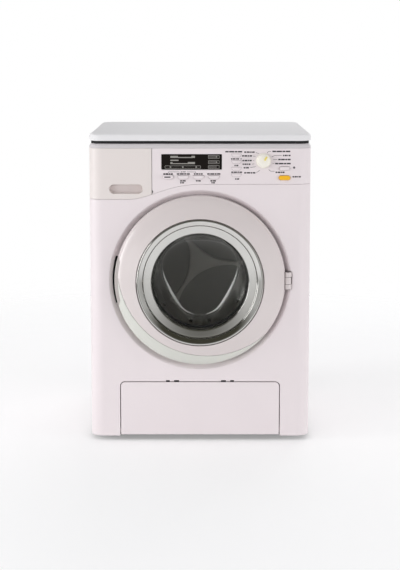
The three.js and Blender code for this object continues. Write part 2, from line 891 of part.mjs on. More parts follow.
function programmeKnob() {
  const back = boardDepth - switchHeight;
  const dome = knobDomeShares.map(([r, rise]) => [
    knobRadius * r, -fitGap - knobSkirt - (knobHeight - knobSkirt) * rise,
  ]);
  const body = turned([
    [0, back],
    [knobShaftRadius, back],
    [knobShaftRadius, -fitGap],
    [knobRadius, -fitGap],
    ...dome,
    [0, -fitGap - knobHeight],
  ], roundSides);
  const pointer = block(
    -pointerWidth / 2, pointerWidth / 2,
    -fitGap - knobHeight - pointerRise, -fitGap - knobSkirt,
    knobRadius / 4, knobRadius / 4 + pointerLength,
  );
  return joined(body, pointer.rotate([0, -pointerAngle, 0]));
}

function circuitBoard() {
  const y1 = frontY + boardDepth + boardThickness;
  const face = frontY + boardDepth;
  const pushSwitch = (x, z) => block(
    x - switchSize / 2, x + switchSize / 2, face - switchHeight, face + boardThickness / 2,
    z - switchSize / 2, z + switchSize / 2,
  );
  const switches = Array.from({ length: optionCount }, (_, i) => pushSwitch(optionX(i), optionZ));
  const module = block(
    displayCentreX - displayWidth / 2, displayCentreX + displayWidth / 2,
    frontY + wall + fitGap + displayFlange / 2 + fitGap, face + boardThickness / 2,
    displayCentreZ - displayHeight / 2, displayCentreZ + displayHeight / 2,
  );
  const dial = cut(
    rodY(knobRadius, face - switchHeight, face + boardThickness / 2, knobX, knobZ),
    rodY(knobShaftRadius + fitGap, face - switchHeight - cutOver, face - fitGap, knobX, knobZ, smallSides),
  );
  return joined(
    block(boardLeftX, boardRightX, face, y1, boardLowZ, boardHighZ),
    module, dial, pushSwitch(startX, startZ), pushSwitch(quickX, quickZ), ...switches,
  );
}

// Detergent drawer

const housingLow = headerLowZ + housingLift;
const housingLeft = -innerHalf + fitGap;
const housingRight = drawerEdgeX - drawerSeam;
const housingFront = frontY + drawerWrap + fitGap;
const trayLeft = housingLeft + ribWall + traySlide;
const trayRight = housingRight - ribWall - traySlide;
const trayLow = housingLow + ribWall + fitGap;
const trayFront = frontY + gripDepth + ribWall + fitGap;

function drawerFront(shell) {
  const plate = shell.intersect(frontZone()).intersect(headerBlock(0))
    .intersect(leftOf(drawerEdgeX - drawerSeam / 2, frontY + drawerWrap));
  const pocket = alongY(
    pill(gripWidth + 2 * ribWall, gripHeight + 2 * ribWall, gripCentreX, gripCentreZ),
    frontY + wall / 2, frontY + gripDepth + ribWall,
  );
  const grip = pill(gripWidth, gripHeight, gripCentreX, gripCentreZ);
  return joined(plate, pocket).subtract(alongY(grip, frontY - cutOver, frontY + gripDepth));
}

function drawerTray() {
  const rear = trayFront + trayLength;
  const high = trayLow + trayHeight;
  const middle = (trayLeft + trayRight) / 2;
  const outer = joined(
    block(trayLeft, trayRight, trayFront, rear, trayLow, high),
    block(trayLeft, trayRight, rear - trayStopThickness, rear, trayLow, high + trayStopHeight),
  );
  const bay = (x0, x1) => block(
    x0, x1, trayFront + ribWall, rear - trayStopThickness, trayLow + ribWall, high + trayStopHeight + cutOver,
  );
  return cut(
    outer,
    bay(trayLeft + ribWall, middle - ribWall / 2),
    bay(middle + ribWall / 2, trayRight - ribWall),
  );
}

function drawerHousing() {
  const high = housingLow + housingHeight;
  const rear = housingFront + housingLength;
  const trayTop = trayLow + trayHeight;
  const hollow = block(
    housingLeft + ribWall, housingRight - ribWall, housingFront - cutOver, rear - ribWall,
    housingLow + ribWall, high - ribWall,
  );
  const lip = block(
    housingLeft + ribWall / 2, housingRight - ribWall / 2, housingFront, housingFront + ribWall,
    trayTop + fitGap, high - ribWall / 2,
  );
  const spoutY = frontY + spoutDepth;
  const shell = cut(block(housingLeft, housingRight, housingFront, rear, housingLow, high), hollow);
  const spoutLow = housingLow - spoutLength;
  return joined(shell, lip, rodZ(spoutRadius, spoutLow, housingLow + ribWall / 2, spoutX, spoutY))
    .subtract(rodZ(spoutBore, spoutLow - cutOver, trayLow, spoutX, spoutY));
}

// Top of the tub's filling spout, which clears the tub's curve by its whole length
function tubSpoutTop() {
  const reach = spoutRadius + fitGap + 1.5 * hoseWall;
  return doorZ + Math.sqrt(tubRadius ** 2 - (Math.abs(spoutX) - reach) ** 2) + spoutLength;
}

function fillHose() {
  const low = tubSpoutTop() - spoutLength / 2;
  const high = housingLow - fitGap;
  const inner = spoutRadius + fitGap;
  const outer = inner + hoseWall;
  const folds = 2;
  const profile = [[inner, low], [outer, low]];
  for (let i = 0; i < folds; i += 1) {
    const step = (high - low) / (folds + 1);
    const z = low + (i + 1) * step;
    profile.push([outer, z - step / 4], [outer + hoseWall / 2, z], [outer, z + step / 4]);
  }
  profile.push([outer, high], [inner, high]);
  return turnedZ(profile);
}

// Porthole: every solid below is centred on the door's axis, with y from the panel's face

function tub() {
  const inner = tubRadius - tubWall;
  const mouth = tubMouthRadius - tubWall;
  const shell = turned([
    [mouth, tubFront - tubMouthLength],
    [tubMouthRadius, tubFront - tubMouthLength],
    [tubMouthRadius, tubFront],
    [tubRadius, tubFront],
    [tubRadius, tubBack],
    [inner, tubBack],
    [inner, tubFront + tubWall],
    [mouth, tubFront + tubWall],
  ], drumSides);
  const spoutTop = tubSpoutTop() - doorZ;
  const sump = -tubRadius;
  const body = joined(
    shell,
    rodZ(spoutRadius, spoutTop - 3 * spoutLength, spoutTop, spoutX, spoutDepth),
    rodZ(sumpRadius, sump - sumpDrop, sump + tubWall, sumpX, sumpDepth),
  );
  const clear = rodY(inner, tubFront + tubWall, tubBack - cutOver, 0, 0, drumSides);
  return cut(
    body, clear,
    rodZ(spoutBore, 0, spoutTop + cutOver, spoutX, spoutDepth),
    rodZ(sumpRadius - ribWall / 2, sump - sumpDrop - cutOver, sump + tubWall + cutOver, sumpX, sumpDepth),
  );
}

function tubCover() {
  const y0 = tubBack + fitGap;
  const y1 = y0 + tubCoverThickness;
  const bore = shaftRadius + runGap + bushWall + fitGap;
  const boss = bore + bossWall;
  return turned([
    [bore, y0],
    [tubRadius, y0],
    [tubRadius, y1],
    [boss, y1],
    [boss, y1 + bossLength - bossWall],
    [bore, y1 + bossLength - bossWall],
  ], drumSides);
}

function shaftBush() {
  const y0 = tubBack + fitGap;
  return turned([
    [shaftRadius + runGap, y0],
    [shaftRadius + runGap + bushWall, y0],
    [shaftRadius + runGap + bushWall, y0 + tubCoverThickness + bossLength - bossWall],
    [shaftRadius + runGap, y0 + tubCoverThickness + bossLength - bossWall],
  ], roundSides);
}

function doorGasket() {
  const outer = collarRadius - fitGap;
  const back = tubFront - tubMouthLength - fitGap;
  const mid = tubMouthRadius - 2 * tubWall;
  const lip = gasketLipRadius;
  return turned([
    [outer, gasketFront],
    [outer, back],
    [mid, back],
    [mid, back - gasketWall],
    [outer - gasketWall, back - gasketWall],
    [outer - gasketWall, gasketFront + gasketWall],
    [lip + gasketWall, gasketFront + gasketWall],
    [lip, gasketFront + gasketWall / 2],
    [lip + gasketWall, gasketFront],
  ], drumSides);
}

function drumShell() {
  const r = drumRadius;
  const s = drumSkin;
  const e = drumEdgeRadius;
  const bore = shaftRadius + fitGap;
  const shell = turned([
    [drumMouthRadius, drumFront],
    [r - e, drumFront],
    [r, drumFront + e],
    [r, drumBack - e],
    [r - e, drumBack],
    [drumHubRadius, drumBack],
    [drumHubRadius, drumBack + drumHubLength],
    [bore, drumBack + drumHubLength],
    [bore, drumBack - s],
    [r - e - s / 2, drumBack - s],
    [r - s, drumBack - e - s / 2],
    [r - s, drumFront + e + s / 2],
    [r - e - s / 2, drumFront + s],
    [drumMouthRadius, drumFront + s],
  ], drumSides);
  const holes = [];
  const rowStep = (drumBack - drumFront) / (holeRows + 1);
  for (let row = 1; row <= holeRows; row += 1) {
    for (let i = 0; i < holesPerRow; i += 1) {
      const turn = ((i + (row % 2 ? 1 : 2) / 3) / holesPerRow) * 360;
      const hole = rodZ(holeRadius, r - 3 * s, r + cutOver, 0, drumFront + row * rowStep, smallSides / 2);
      holes.push(hole.rotate([0, turn, 0]));
    }
  }
  const arms = [];
  for (let i = 0; i < paddleCount; i += 1) {
    const arm = alongY(polygon([
      [-starArmWidth / 2, 0],
      [starArmWidth / 2, 0],
      [starArmWidth / 4, starArmLength],
      [-starArmWidth / 4, starArmLength],
    ]), drumBack - s - starRise, drumBack - s / 2);
    arms.push(arm.rotate([0, starTurn + (i / paddleCount) * 360, 0]));
  }
  const star = joined(...arms, rodY(starArmWidth, drumBack - s - starRise, drumBack - s / 2))
    .subtract(rodY(bore, drumFront, drumBack));
  return cut(joined(shell, star), ...holes);
}

function drumPaddle() {
  const inner = drumRadius - drumSkin - fitGap;
  const y0 = drumFront + drumSkin + paddleEndGap;
  const y1 = drumBack - drumSkin - paddleEndGap;
  const foot = inner - paddleHeight / 4;
  const shape = polygon([
    [-paddleWidth / 2, inner],
    [-paddleWidth / 2, foot],
    [-paddleWidth / 6, inner - paddleHeight],
    [paddleWidth / 6, inner - paddleHeight],
    [paddleWidth / 2, foot],
    [paddleWidth / 2, inner],
  ]);
  const seat = inner * Math.cos(Math.PI / drumSides);
  return alongY(shape, y0, y1).intersect(rodY(seat, y0, y1, 0, 0, ringSides));
}

function drumShaft() {
  return rodY(shaftRadius, shaftFrontDepth, pulleyBack + pulleyWidth + fitGap);
}

// A pulley wheel with a flat-bottomed groove, turning about the Y axis
function pulleyProfile(radius, groove, bore, hub) {
  const y0 = pulleyBack;
  const y1 = pulleyBack + pulleyWidth;
  const middle = (y0 + y1) / 2;
  const web = pulleyWeb / 2;
  const inner = groove - pulleyRimThickness;
  const rim = [
    [radius, y0],
    [radius, y0 + pulleyFlange],
    [groove, y0 + pulleyFlange],
    [groove, y1 - pulleyFlange],
    [radius, y1 - pulleyFlange],
    [radius, y1],
  ];
  if (inner <= hub) return [[bore, y0], ...rim, [bore, y1]];
  return [
    [bore, y0], [hub, y0], [hub, middle - web], [inner, middle - web], [inner, y0],
    ...rim,
    [inner, y1], [inner, middle + web], [hub, middle + web], [hub, y1], [bore, y1],
  ];
}

function drumPulley() {
  const hub = shaftRadius + 2 * bushWall;
  return turned(pulleyProfile(drumPulleyRadius, drumGrooveRadius, shaftRadius + fitGap, hub), drumSides);
}

function motorPulley() {
  const wheel = turned(pulleyProfile(motorPulleyRadius, motorGrooveRadius, 0, motorPulleyRadius), roundSides);
  const end = motorFront + motorLength;
  const shaftEnd = end - motorShaftBite + fitGap;
  return joined(wheel, rodY(motorShaftRadius, shaftEnd, pulleyBack + cutOver, 0, 0, smallSides));
}

// The outline of a band round both pulleys, each circle grown by the same amount
function beltOutline(grow) {
  const r1 = drumGrooveRadius + grow;
  const r2 = motorGrooveRadius + grow;
  const dx = motorX;
  const dz = motorZ - doorZ;
  const along = Math.atan2(dz, dx);
  const spread = Math.acos((r1 - r2) / Math.hypot(dx, dz));
  const path = new THREE.Shape();
  path.absarc(0, 0, r1, along + spread, along - spread + 2 * Math.PI, false);
  path.absarc(dx, dz, r2, along - spread, along + spread, false);
  path.closePath();
  return path;
}

function driveBelt() {
  const y0 = pulleyBack + pulleyFlange + fitGap;
  const y1 = pulleyBack + pulleyWidth - pulleyFlange - fitGap;
  const slack = drumGrooveRadius * (1 - Math.cos(Math.PI / (4 * curveFacets))) + fitGap;
  return cut(
    alongY(beltOutline(slack + beltThickness), y0, y1, 0, curveFacets),
    alongY(beltOutline(slack), y0 - cutOver, y1 + cutOver, 0, curveFacets),
  );
}

function motorBody() {
  const y1 = motorFront + motorLength;
  const flats = block(-motorRadius, motorRadius, motorFront, y1, -motorFlat, motorFlat);
  const can = rodY(motorRadius, motorFront, y1).intersect(flats);
  return can.subtract(rodY(motorShaftRadius + runGap, y1 - motorShaftBite, y1 + cutOver, 0, 0, smallSides));
}

// Stands on the base, so it is centred under the motor with z from the floor
function motorCradle() {
  const half = motorRadius + fitGap + cradleWall;
  const y0 = motorFront + cradleWall;
  const y1 = y0 + cradleLength;
  const low = floorTop + fitGap;
  const seat = motorZ - motorFlat - fitGap;
  const arch = block(
    -half + 2 * cradleWall, half - 2 * cradleWall,
    y0 - cutOver, y1 + cutOver, low - cutOver, seat - 2 * cradleWall,
  );
  const bed = block(
    -half + cradleWall, half - cradleWall, y0 - cutOver, y1 + cutOver, seat, motorZ + cutOver,
  );
  return cut(block(-half, half, y0, y1, low, motorZ), arch, bed);
}

// Door

function lerp(a, b, share) {
  return a + (b - a) * share;
}

// The white ring's front from its edge to its crest
function ringCrown() {
  return ringCrownShares.map(([inwards, rise]) => [
    lerp(ringRadius, ringInnerRadius, inwards), -lerp(ringEdgeProud, doorProud - fitGap, rise),
  ]);
}

// The underside of that front, from the rim inwards
function ringUnder() {
  const inside = ringCrown().filter(([r]) => r < ringRadius - 2 * ringRim && r > ringInnerRadius + ringRim);
  return [[ringRadius - ringRim, -ringEdgeProud], ...inside.map(([r, y]) => [r, y + ringSkin])];
}

function ringSolid() {
  const crest = doorProud - fitGap;
  return turned([
    [ringRadius, ringRimDepth],
    [ringRadius, -ringEdgeProud],
    ...ringCrown(),
    [ringInnerRadius, -crest],
    [ringInnerRadius, -crest + ringSkin],
    ...ringUnder().reverse(),
    [ringRadius - ringRim, ringRimDepth],
  ]);
}

function crescentTool(radius) {
  return rodY(
    radius, -doorProud - cutOver, ringRimDepth + cutOver, crescentShiftX, crescentShiftZ, ringSides,
  );
}

function hingeArmNotch() {
  const half = knuckleHeight / 2 + fitGap;
  return block(
    ringRadius - 2 * ringRim, ringRadius + cutOver,
    -ringEdgeProud - fitGap, ringRimDepth + cutOver, -half, half,
  );
}

function doorRing() {
  return cut(ringSolid().intersect(crescentTool(crescentRadius - fitGap / 2)), hingeArmNotch());
}

function doorCrescent() {
  return ringSolid().subtract(crescentTool(crescentRadius + fitGap / 2));
}

function doorChromeRing() {
  const outer = ringInnerRadius - fitGap;
  const slope = chromeSlopeShares.map(([inwards, drop]) => [
    lerp(outer, chromeInnerRadius, inwards), -lerp(doorProud, chromeInnerProud, drop),
  ]);
  const under = slope.map(([r, y]) => [r + chromeSkin / 2, y + chromeSkin]).reverse();
  return turned([
    [outer, -doorProud + chromeSkin + fitGap],
    [outer, -doorProud + fitGap],
    [outer - fitGap, -doorProud],
    ...slope,
    [chromeInnerRadius, -chromeInnerProud - chromeSkin / 2],
    [chromeInnerRadius, -chromeInnerProud],
    [chromeInnerRadius + chromeSkin, -chromeInnerProud],
    ...under,
  ]);
}

// Radius of the bowl's end face at an angle from straight down
function bowlEndAt(turn) {
  const count = bowlEndShares.length;
  const place = (((turn / (2 * Math.PI)) % 1) + 1) % 1 * count;
  const at = (k) => bowlEndShares[(((Math.floor(place) + k) % count) + count) % count];
  const t = place % 1;
  const [p, q, r, s] = [at(-1), at(0), at(1), at(2)];
  const smooth = q + 0.5 * t * (r - p + t * (2 * p - 5 * q + 4 * r - s + t * (3 * (q - r) + s - p)));
  return bowlEndRadius * smooth;
}

function bowlRing(radiusAt, y) {
  const count = bowlSides;
  return Array.from({ length: count }, (_, i) => {
    const turn = (i / count) * 2 * Math.PI;
    const r = radiusAt(turn);
    return new THREE.Vector3(r * Math.sin(turn), y, -r * Math.cos(turn));
  });
}

// The bowl's outer skin, or its inner one when thinned by the wall
function bowlSkin(thin, mouthY) {
  const morph = bowlMorphShares.map((share, k) => {
    const depth = lerp(bowlNeckDepth, bowlEndDepth, (k + 1) / bowlMorphShares.length);
    return bowlRing((turn) => lerp(bowlNeckRadius, bowlEndAt(turn), share) - thin, depth - thin);
  });
  const crown = bowlRing((turn) => (bowlEndAt(turn) - thin) / 2, bowlEndDepth + bowlCrown - thin);
  return lofted([
    bowlRing(() => bowlMouthRadius - thin, mouthY),
    bowlRing(() => bowlNeckRadius - thin, bowlNeckDepth - thin),
    ...morph,
    crown,
  ]);
}

function doorBowl() {
  const front = -chromeInnerProud + fitGap;
  const back = front + bowlFlangeThickness;
  const flange = rodY(bowlFlangeRadius, front, back, 0, 0, ringSides);
  return joined(flange, bowlSkin(0, front)).subtract(bowlSkin(bowlWall, front - cutOver));
}

// Rear ring of the door, with the hinge arm and the latch peg moulded on
function doorFrame() {
  const lipFront = -chromeInnerProud + bowlFlangeThickness + 2 * fitGap;
  const clampRadius = bowlFlangeRadius + fitGap;
  const seat = ringUnder().map(([r, y]) => [r - 2 * fitGap, y + 2 * fitGap]);
  const outer = seat[0][0];
  const ring = turned([
    [bowlFlangeRadius - frameLip, lipFront],
    [clampRadius, lipFront],
    [clampRadius, -chromeInnerProud],
    ...seat.reverse(),
    [outer, frameBack],
    [bowlFlangeRadius - frameLip, frameBack],
  ]);
  const half = knuckleHeight / 2;
  const arm = joined(
    block(ringRadius - 2 * ringRim - fitGap, hingeX, -hingeProud + fitGap, frameBack, -half, half),
    rodZ(knuckleRadius, -half, half, hingeX, -hingeProud),
  );
  const pinHole = rodZ(hingePinRadius + runGap, -half - cutOver, half + cutOver, hingeX, -hingeProud);
  const latch = block(pegX - peg, pegX + peg, frameBack - cutOver, frameBack + pegLength, -peg, peg);
  const armClear = block(
    hingeX, hingeX + knuckleRadius + cutOver, -hingeProud + knuckleRadius, frameBack + cutOver, -half, half,
  );
  return joined(ring, arm.subtract(armClear), latch).subtract(pinHole);
}

function latchSocket() {
  const half = socketSize / 2;
  const y0 = moatDepth + wall + fitGap;
  const y1 = frameBack + pegLength + ribWall + fitGap;
  const collarSide = -collarRadius - wall - fitGap;
  return cut(
    block(pegX - half, Math.min(pegX + half, collarSide), y0, y1, -half, half),
    block(pegX - peg - pegPlay, pegX + peg + fitGap, y0 - cutOver, y1 - ribWall, -peg - fitGap, peg + fitGap),
  );
}

function hingeBracket() {
  const half = knuckleHeight / 2 + fitGap;
  const ends = [[half, half + bracketKnuckle], [-half - bracketKnuckle, -half]];
  const wallX = hingeX + knuckleRadius + 2 * fitGap;
  const knuckles = ends.flatMap(([z0, z1]) => [
    rodZ(knuckleRadius, z0, z1, hingeX, -hingeProud),
    block(hingeX, wallX - fitGap, -hingeProud, bracketBack, z0, z1),
  ]);
  const plate = bracketSlot(0).translate([0, -frontY, -doorZ]);
  const webs = ends.map(([z0, z1]) => block(hingeX, wallX + cutOver, wall + fitGap, bracketBack, z0, z1));
  const pinHole = rodZ(hingePinRadius + runGap, -machineHeight, machineHeight, hingeX, -hingeProud);
  return cut(joined(plate, ...knuckles, ...webs), pinHole);
}

function hingePin() {
  const half = knuckleHeight / 2 + fitGap + bracketKnuckle;
  return rodZ(hingePinRadius, -half, half, hingeX, -hingeProud);
}

// Plinth flap, hinged on two stubs at its lower corners

function plinthFlap() {
  const low = casingBottom + flapLift;
  const plate = flapOpening(frontY, frontY + flapThickness, 0, low);
  const axisY = frontY + flapAxisDepth;
  const axisZ = casingBottom + flapAxisHeight;
  const stub = recessHalf + flapStubLength;
  const ends = [-1, 1].flatMap((side) => {
    const inner = side * (flapHalfWidth - 2 * flapThickness);
    const outer = side * stub;
    const edge = side * flapHalfWidth;
    return [
      rodX(flapStubRadius, Math.min(inner, outer), Math.max(inner, outer), axisY, axisZ),
      block(
        Math.min(inner, edge), Math.max(inner, edge), frontY + flapThickness / 2, axisY,
        axisZ - flapStubRadius, axisZ + flapStubRadius,
      ),
    ];
  });
  const rib = block(
    -flapHalfWidth + 2 * flapThickness, flapHalfWidth - 2 * flapThickness,
    frontY + flapThickness / 2, frontY + flapThickness + flapRibHeight,
    flapTopZ - 3 * flapThickness, flapTopZ - 2 * flapThickness,
  );
  return joined(plate, rib, ...ends);
}

// Power

function batteryBox() {
  const { halfLength, depth, rear, low, height } = batterySizes();
  const outer = block(
    -halfLength - ribWall, halfLength + ribWall, rear - depth - ribWall, rear,
    low, low + height + 2 * ribWall,
  );
  const hollow = block(
    -halfLength, halfLength, rear - depth, rear + cutOver, low + ribWall, low + ribWall + height,
  );
  const screwZ = floorTop + coverHeight - coverScrewDrop;
  const boss = block(
    -bossSize / 2, bossSize / 2, rear - depth, rear, low + height + ribWall, screwZ + bossSize / 2,
  );
  return cut(
    joined(outer, boss), hollow,
    rodY(screwShankRadius + fitGap, rear - screwLength, rear + cutOver, 0, screwZ, smallSides),
  );
}

function batteryCover() {
  const screwZ = floorTop + coverHeight - coverScrewDrop;
  return cut(
    block(-coverWidth / 2, coverWidth / 2, rearY - wall, rearY, floorTop, floorTop + coverHeight),
    rodY(screwShankRadius + fitGap, rearY - wall - cutOver, rearY + cutOver, 0, screwZ, smallSides),
    rodY(screwHeadRadius + fitGap, rearY - screwHeadHeight - fitGap, rearY + cutOver, 0, screwZ, smallSides),
  );
}

function batteryScrew() {
  return turned([
    [0, 0],
    [screwHeadRadius, 0],
    [screwHeadRadius, -screwHeadHeight],
    [screwShankRadius, -screwHeadHeight],
    [screwShankRadius, -screwLength],
    [0, -screwLength],
  ], smallSides);
}

function batteryCell() {
  const half = cellLength / 2;
  return turned([
    [0, -half],
    [cellRadius, -half],
    [cellRadius, half - cellNubLength],
    [cellNubRadius, half - cellNubLength],
    [cellNubRadius, half],
    [0, half],
  ], smallSides).rotate([0, 0, -90]);
}

function cellMiddleY() {
  const { depth, rear } = batterySizes();
  return rear - depth / 2;
}

function cellMiddleZ(i) {
  const { low } = batterySizes();
  return low + ribWall + boxClearance + cellRadius + i * cellPitch;
}

function contactStrip(x0, x1) {
  return block(
    x0, x1, cellMiddleY() - contactWidth / 2, cellMiddleY() + contactWidth / 2,
    cellMiddleZ(0) - contactWidth / 2, cellMiddleZ(cellCount - 1) + contactWidth / 2,
  );
}

function contactPlate() {
  const x = cellLength / 2 + fitGap;
  return contactStrip(x, x + contactThickness);
}

function contactSprings() {
  const x = -cellLength / 2 - fitGap - contactSpringLength;
  const springs = Array.from({ length: cellCount }, (_, i) => {
    const tip = cellNubRadius / 2;
    const cone = new THREE.CylinderGeometry(tip, cellNubRadius, contactSpringLength, smallSides);
    cone.rotateZ(-Math.PI / 2);
    cone.translate(x + contactSpringLength / 2, cellMiddleY(), cellMiddleZ(i));
    return solid(cone);
  });
  return joined(contactStrip(x - contactThickness, x + fitGap), ...springs);
}

// Sound and drain

function speaker() {
  return turnedZ([
    [0, 0],
    [speakerRadius, 0],
    [speakerRadius, speakerHeight / 4],
    [speakerMagnetRadius, speakerHeight / 2],
    [speakerMagnetRadius, speakerHeight],
    [0, speakerHeight],
  ], roundSides);
}

function drainNozzle() {
  const inside = rearY - nozzleWellDepth - wall;
  const tip = inside + wall + nozzleLength;
  const barb = nozzleRadius + fitGap;
  return turned([
    [nozzleBore, inside - fitGap - hoseWall],
    [nozzleFlangeRadius, inside - fitGap - hoseWall],
    [nozzleFlangeRadius, inside - fitGap],
    [nozzleRadius, inside - fitGap],
    [nozzleRadius, tip - 2 * hoseWall],
    [barb + fitGap, tip - hoseWall],
    [nozzleRadius - fitGap, tip],
    [nozzleBore, tip],
  ], smallSides);
}

function drainPipe() {
  const top = doorZ - tubRadius - sumpDrop - fitGap;
  const endY = rearY - nozzleWellDepth - wall - 2 * fitGap - hoseWall;
  const route = routed(pipeShares, [sumpX, frontY + sumpDepth, nozzleZ], [nozzleX, endY, top]);
  return tubeAlong(route, pipeRadius, pipeBore, pipeSteps);
}

// Where both leads meet the circuit board, at the given place across
function boardEnd(x) {
  return [x, frontY + boardDepth + boardThickness + fitGap + leadRadius, boardLowZ + leadRadius];
}

function batteryLead() {
  const { rear, low, height } = batterySizes();
  const top = low + height + 2 * ribWall + fitGap + leadRadius;
  const route = routed(batteryLeadShares, [0, rear, top], boardEnd(innerHalf - 4 * leadRadius));
  return tubeAlong(route, leadRadius, 0, leadSteps);
}

function motorLead() {
  const startY = frontY + motorFront - fitGap - leadRadius / 2;
  const low = floorTop + 8 * leadRadius;
  const route = routed(motorLeadShares, [motorX, startY, low], boardEnd(innerHalf - 5 * leadRadius));
  return tubeAlong(route, leadRadius, 0, leadSteps);
}

// Materials

function finish(color, roughness, metalness = 0, opacity = 1) {
  return new THREE.MeshStandardMaterial({ color, roughness, metalness, opacity, transparent: opacity < 1 });
}

const white = finish(0xe6dddf, 0.35);
const lidWhite = finish(0xdcdadb, 0.35);
const warmWhite = finish(0xe8dfda, 0.4);
const crescentWhite = finish(0xd9dcd6, 0.35);
const cream = finish(0xefe9dd, 0.35);
const amber = finish(0xf0a81a, 0.35);
const black = finish(0x1c1816, 0.2);
const greyRubber = finish(0x6a6a6c, 0.8);
const blackRubber = finish(0x242424, 0.8);
const chrome = finish(0xd8d8d8, 0.08, 1);
const smoke = finish(0x3a3d3c, 0.08, 0, 0.45);
const drumGrey = finish(0x8b8d8f, 0.45);
const innerGrey = finish(0xb5b6b8, 0.5);
const steel = finish(0xb0b2b5, 0.3, 1);
const brass = finish(0xc9a552, 0.35, 1);
const boardGreen = finish(0x2f6b45, 0.6);
const cellColour = finish(0x4a4e55, 0.4);
const leadRed = finish(0xa83028, 0.6);
const leadBlack = finish(0x26262a, 0.6);

// Assembly

const machine = new THREE.Group();
machine.name = 'toy_washing_machine';

function group(parent, x = 0, y = 0, z = 0) {
  const child = new THREE.Group();
  child.position.set(x, y, z);
  parent.add(child);
  return child;
}

function addPiece(parent, name, manifold, material, x = 0, y = 0, z = 0) {
  const mesh = new THREE.Mesh(geometryOf(manifold), material);
  mesh.name = name;
  mesh.position.set(x, y, z);
  parent.add(mesh);
  return mesh;
}

const casing = group(machine);
const shell = casingShell();
addPiece(casing, 'front_shell', frontShell(shell), white);
addPiece(casing, 'rear_shell', rearShell(shell), white);
addPiece(casing, 'base_tray', baseTray(), innerGrey);
addPiece(casing, 'worktop', worktop(), lidWhite);
addPiece(casing, 'worktop_spacer', worktopSpacer(), blackRubber);
for (const [corner, x, y] of footPlaces()) {
  addPiece(casing, `foot_${corner}`, foot(), blackRubber, x, y, 0);
}

const controls = group(machine);
addPiece(controls, 'control_fascia', controlFascia(shell), white);
addPiece(controls, 'display_window', displayWindow(), black, displayCentreX, frontY, displayCentreZ);
addPiece(controls, 'circuit_board', circuitBoard(), boardGreen);
for (let i = 0; i < optionCount; i += 1) {
  const cap = button(optionWidth, optionHeight);
  addPiece(controls, `option_button_${i + 1}`, cap, white, optionX(i), frontY, optionZ);
}
addPiece(controls, 'quick_button', button(quickWidth, quickHeight), cream, quickX, frontY, quickZ);
addPiece(controls, 'start_button', button(startWidth, startHeight), amber, startX, frontY, startZ);
addPiece(controls, 'programme_knob', programmeKnob(), cream, knobX, frontY, knobZ);

const drawer = group(machine);
addPiece(drawer, 'drawer_front', drawerFront(shell), warmWhite);
addPiece(drawer, 'drawer_tray', drawerTray(), innerGrey);
addPiece(drawer, 'drawer_housing', drawerHousing(), innerGrey);
addPiece(drawer, 'fill_hose', fillHose(), greyRubber, spoutX, frontY + spoutDepth, 0);

const porthole = group(machine, 0, frontY, doorZ);
addPiece(porthole, 'tub', tub(), innerGrey);
addPiece(porthole, 'tub_cover', tubCover(), innerGrey);
addPiece(porthole, 'shaft_bush', shaftBush(), brass);
addPiece(porthole, 'door_gasket', doorGasket(), greyRubber);
addPiece(porthole, 'latch_socket', latchSocket(), innerGrey);
addPiece(porthole, 'hinge_bracket', hingeBracket(), white);
addPiece(porthole, 'hinge_pin', hingePin(), steel);
addPiece(porthole, 'drive_belt', driveBelt(), blackRubber);

const drum = group(porthole);
addPiece(drum, 'drum_shell', drumShell(), drumGrey);
addPiece(drum, 'drum_shaft', drumShaft(), steel);
addPiece(drum, 'drum_pulley', drumPulley(), innerGrey);
for (let i = 0; i < paddleCount; i += 1) {
  const paddle = addPiece(drum, `drum_paddle_${i + 1}`, drumPaddle(), drumGrey);
  paddle.rotation.y = ((i + 0.5) / paddleCount) * 2 * Math.PI;
}

const door = group(porthole);
addPiece(door, 'door_ring', doorRing(), white);
addPiece(door, 'door_crescent', doorCrescent(), crescentWhite);
addPiece(door, 'door_chrome_ring', doorChromeRing(), chrome);
addPiece(door, 'door_bowl', doorBowl(), smoke);
addPiece(door, 'door_frame', doorFrame(), white);

const plinth = group(machine);
addPiece(plinth, 'plinth_flap', plinthFlap(), white);

const drive = group(machine, motorX, frontY, 0);
addPiece(drive, 'motor_body', motorBody(), steel, 0, 0, motorZ);
addPiece(drive, 'motor_pulley', motorPulley(), innerGrey, 0, 0, motorZ);
addPiece(drive, 'motor_cradle', motorCradle(), innerGrey);

const power = group(machine);
addPiece(power, 'battery_box', batteryBox(), innerGrey);
addPiece(power, 'battery_cover', batteryCover(), white);
const screwZ = floorTop + coverHeight - coverScrewDrop;
addPiece(power, 'battery_screw', batteryScrew(), steel, 0, rearY - fitGap / 2, screwZ);
for (let i = 0; i < cellCount; i += 1) {
  const name = `battery_cell_${i + 1}`;
  const cell = addPiece(power, name, batteryCell(), cellColour, 0, cellMiddleY(), cellMiddleZ(i));
  cell.rotation.z = i % 2 ? Math.PI : 0;
}
addPiece(power, 'battery_contact_plate', contactPlate(), brass);
addPiece(power, 'battery_contact_springs', contactSprings(), steel);
addPiece(power, 'battery_lead', batteryLead(), leadRed);
addPiece(power, 'motor_lead', motorLead(), leadBlack);
addPiece(power, 'speaker', speaker(), cellColour, speakerX, frontY + speakerDepth, floorTop + fitGap);

const drain = group(machine);
addPiece(drain, 'drain_pipe', drainPipe(), greyRubber);
addPiece(drain, 'drain_nozzle', drainNozzle(), innerGrey, nozzleX, 0, nozzleZ);

export default machine;
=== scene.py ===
# A toy front-loading washing machine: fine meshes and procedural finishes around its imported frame
import json
import math

import bmesh
import bpy
from mathutils import Matrix, Vector


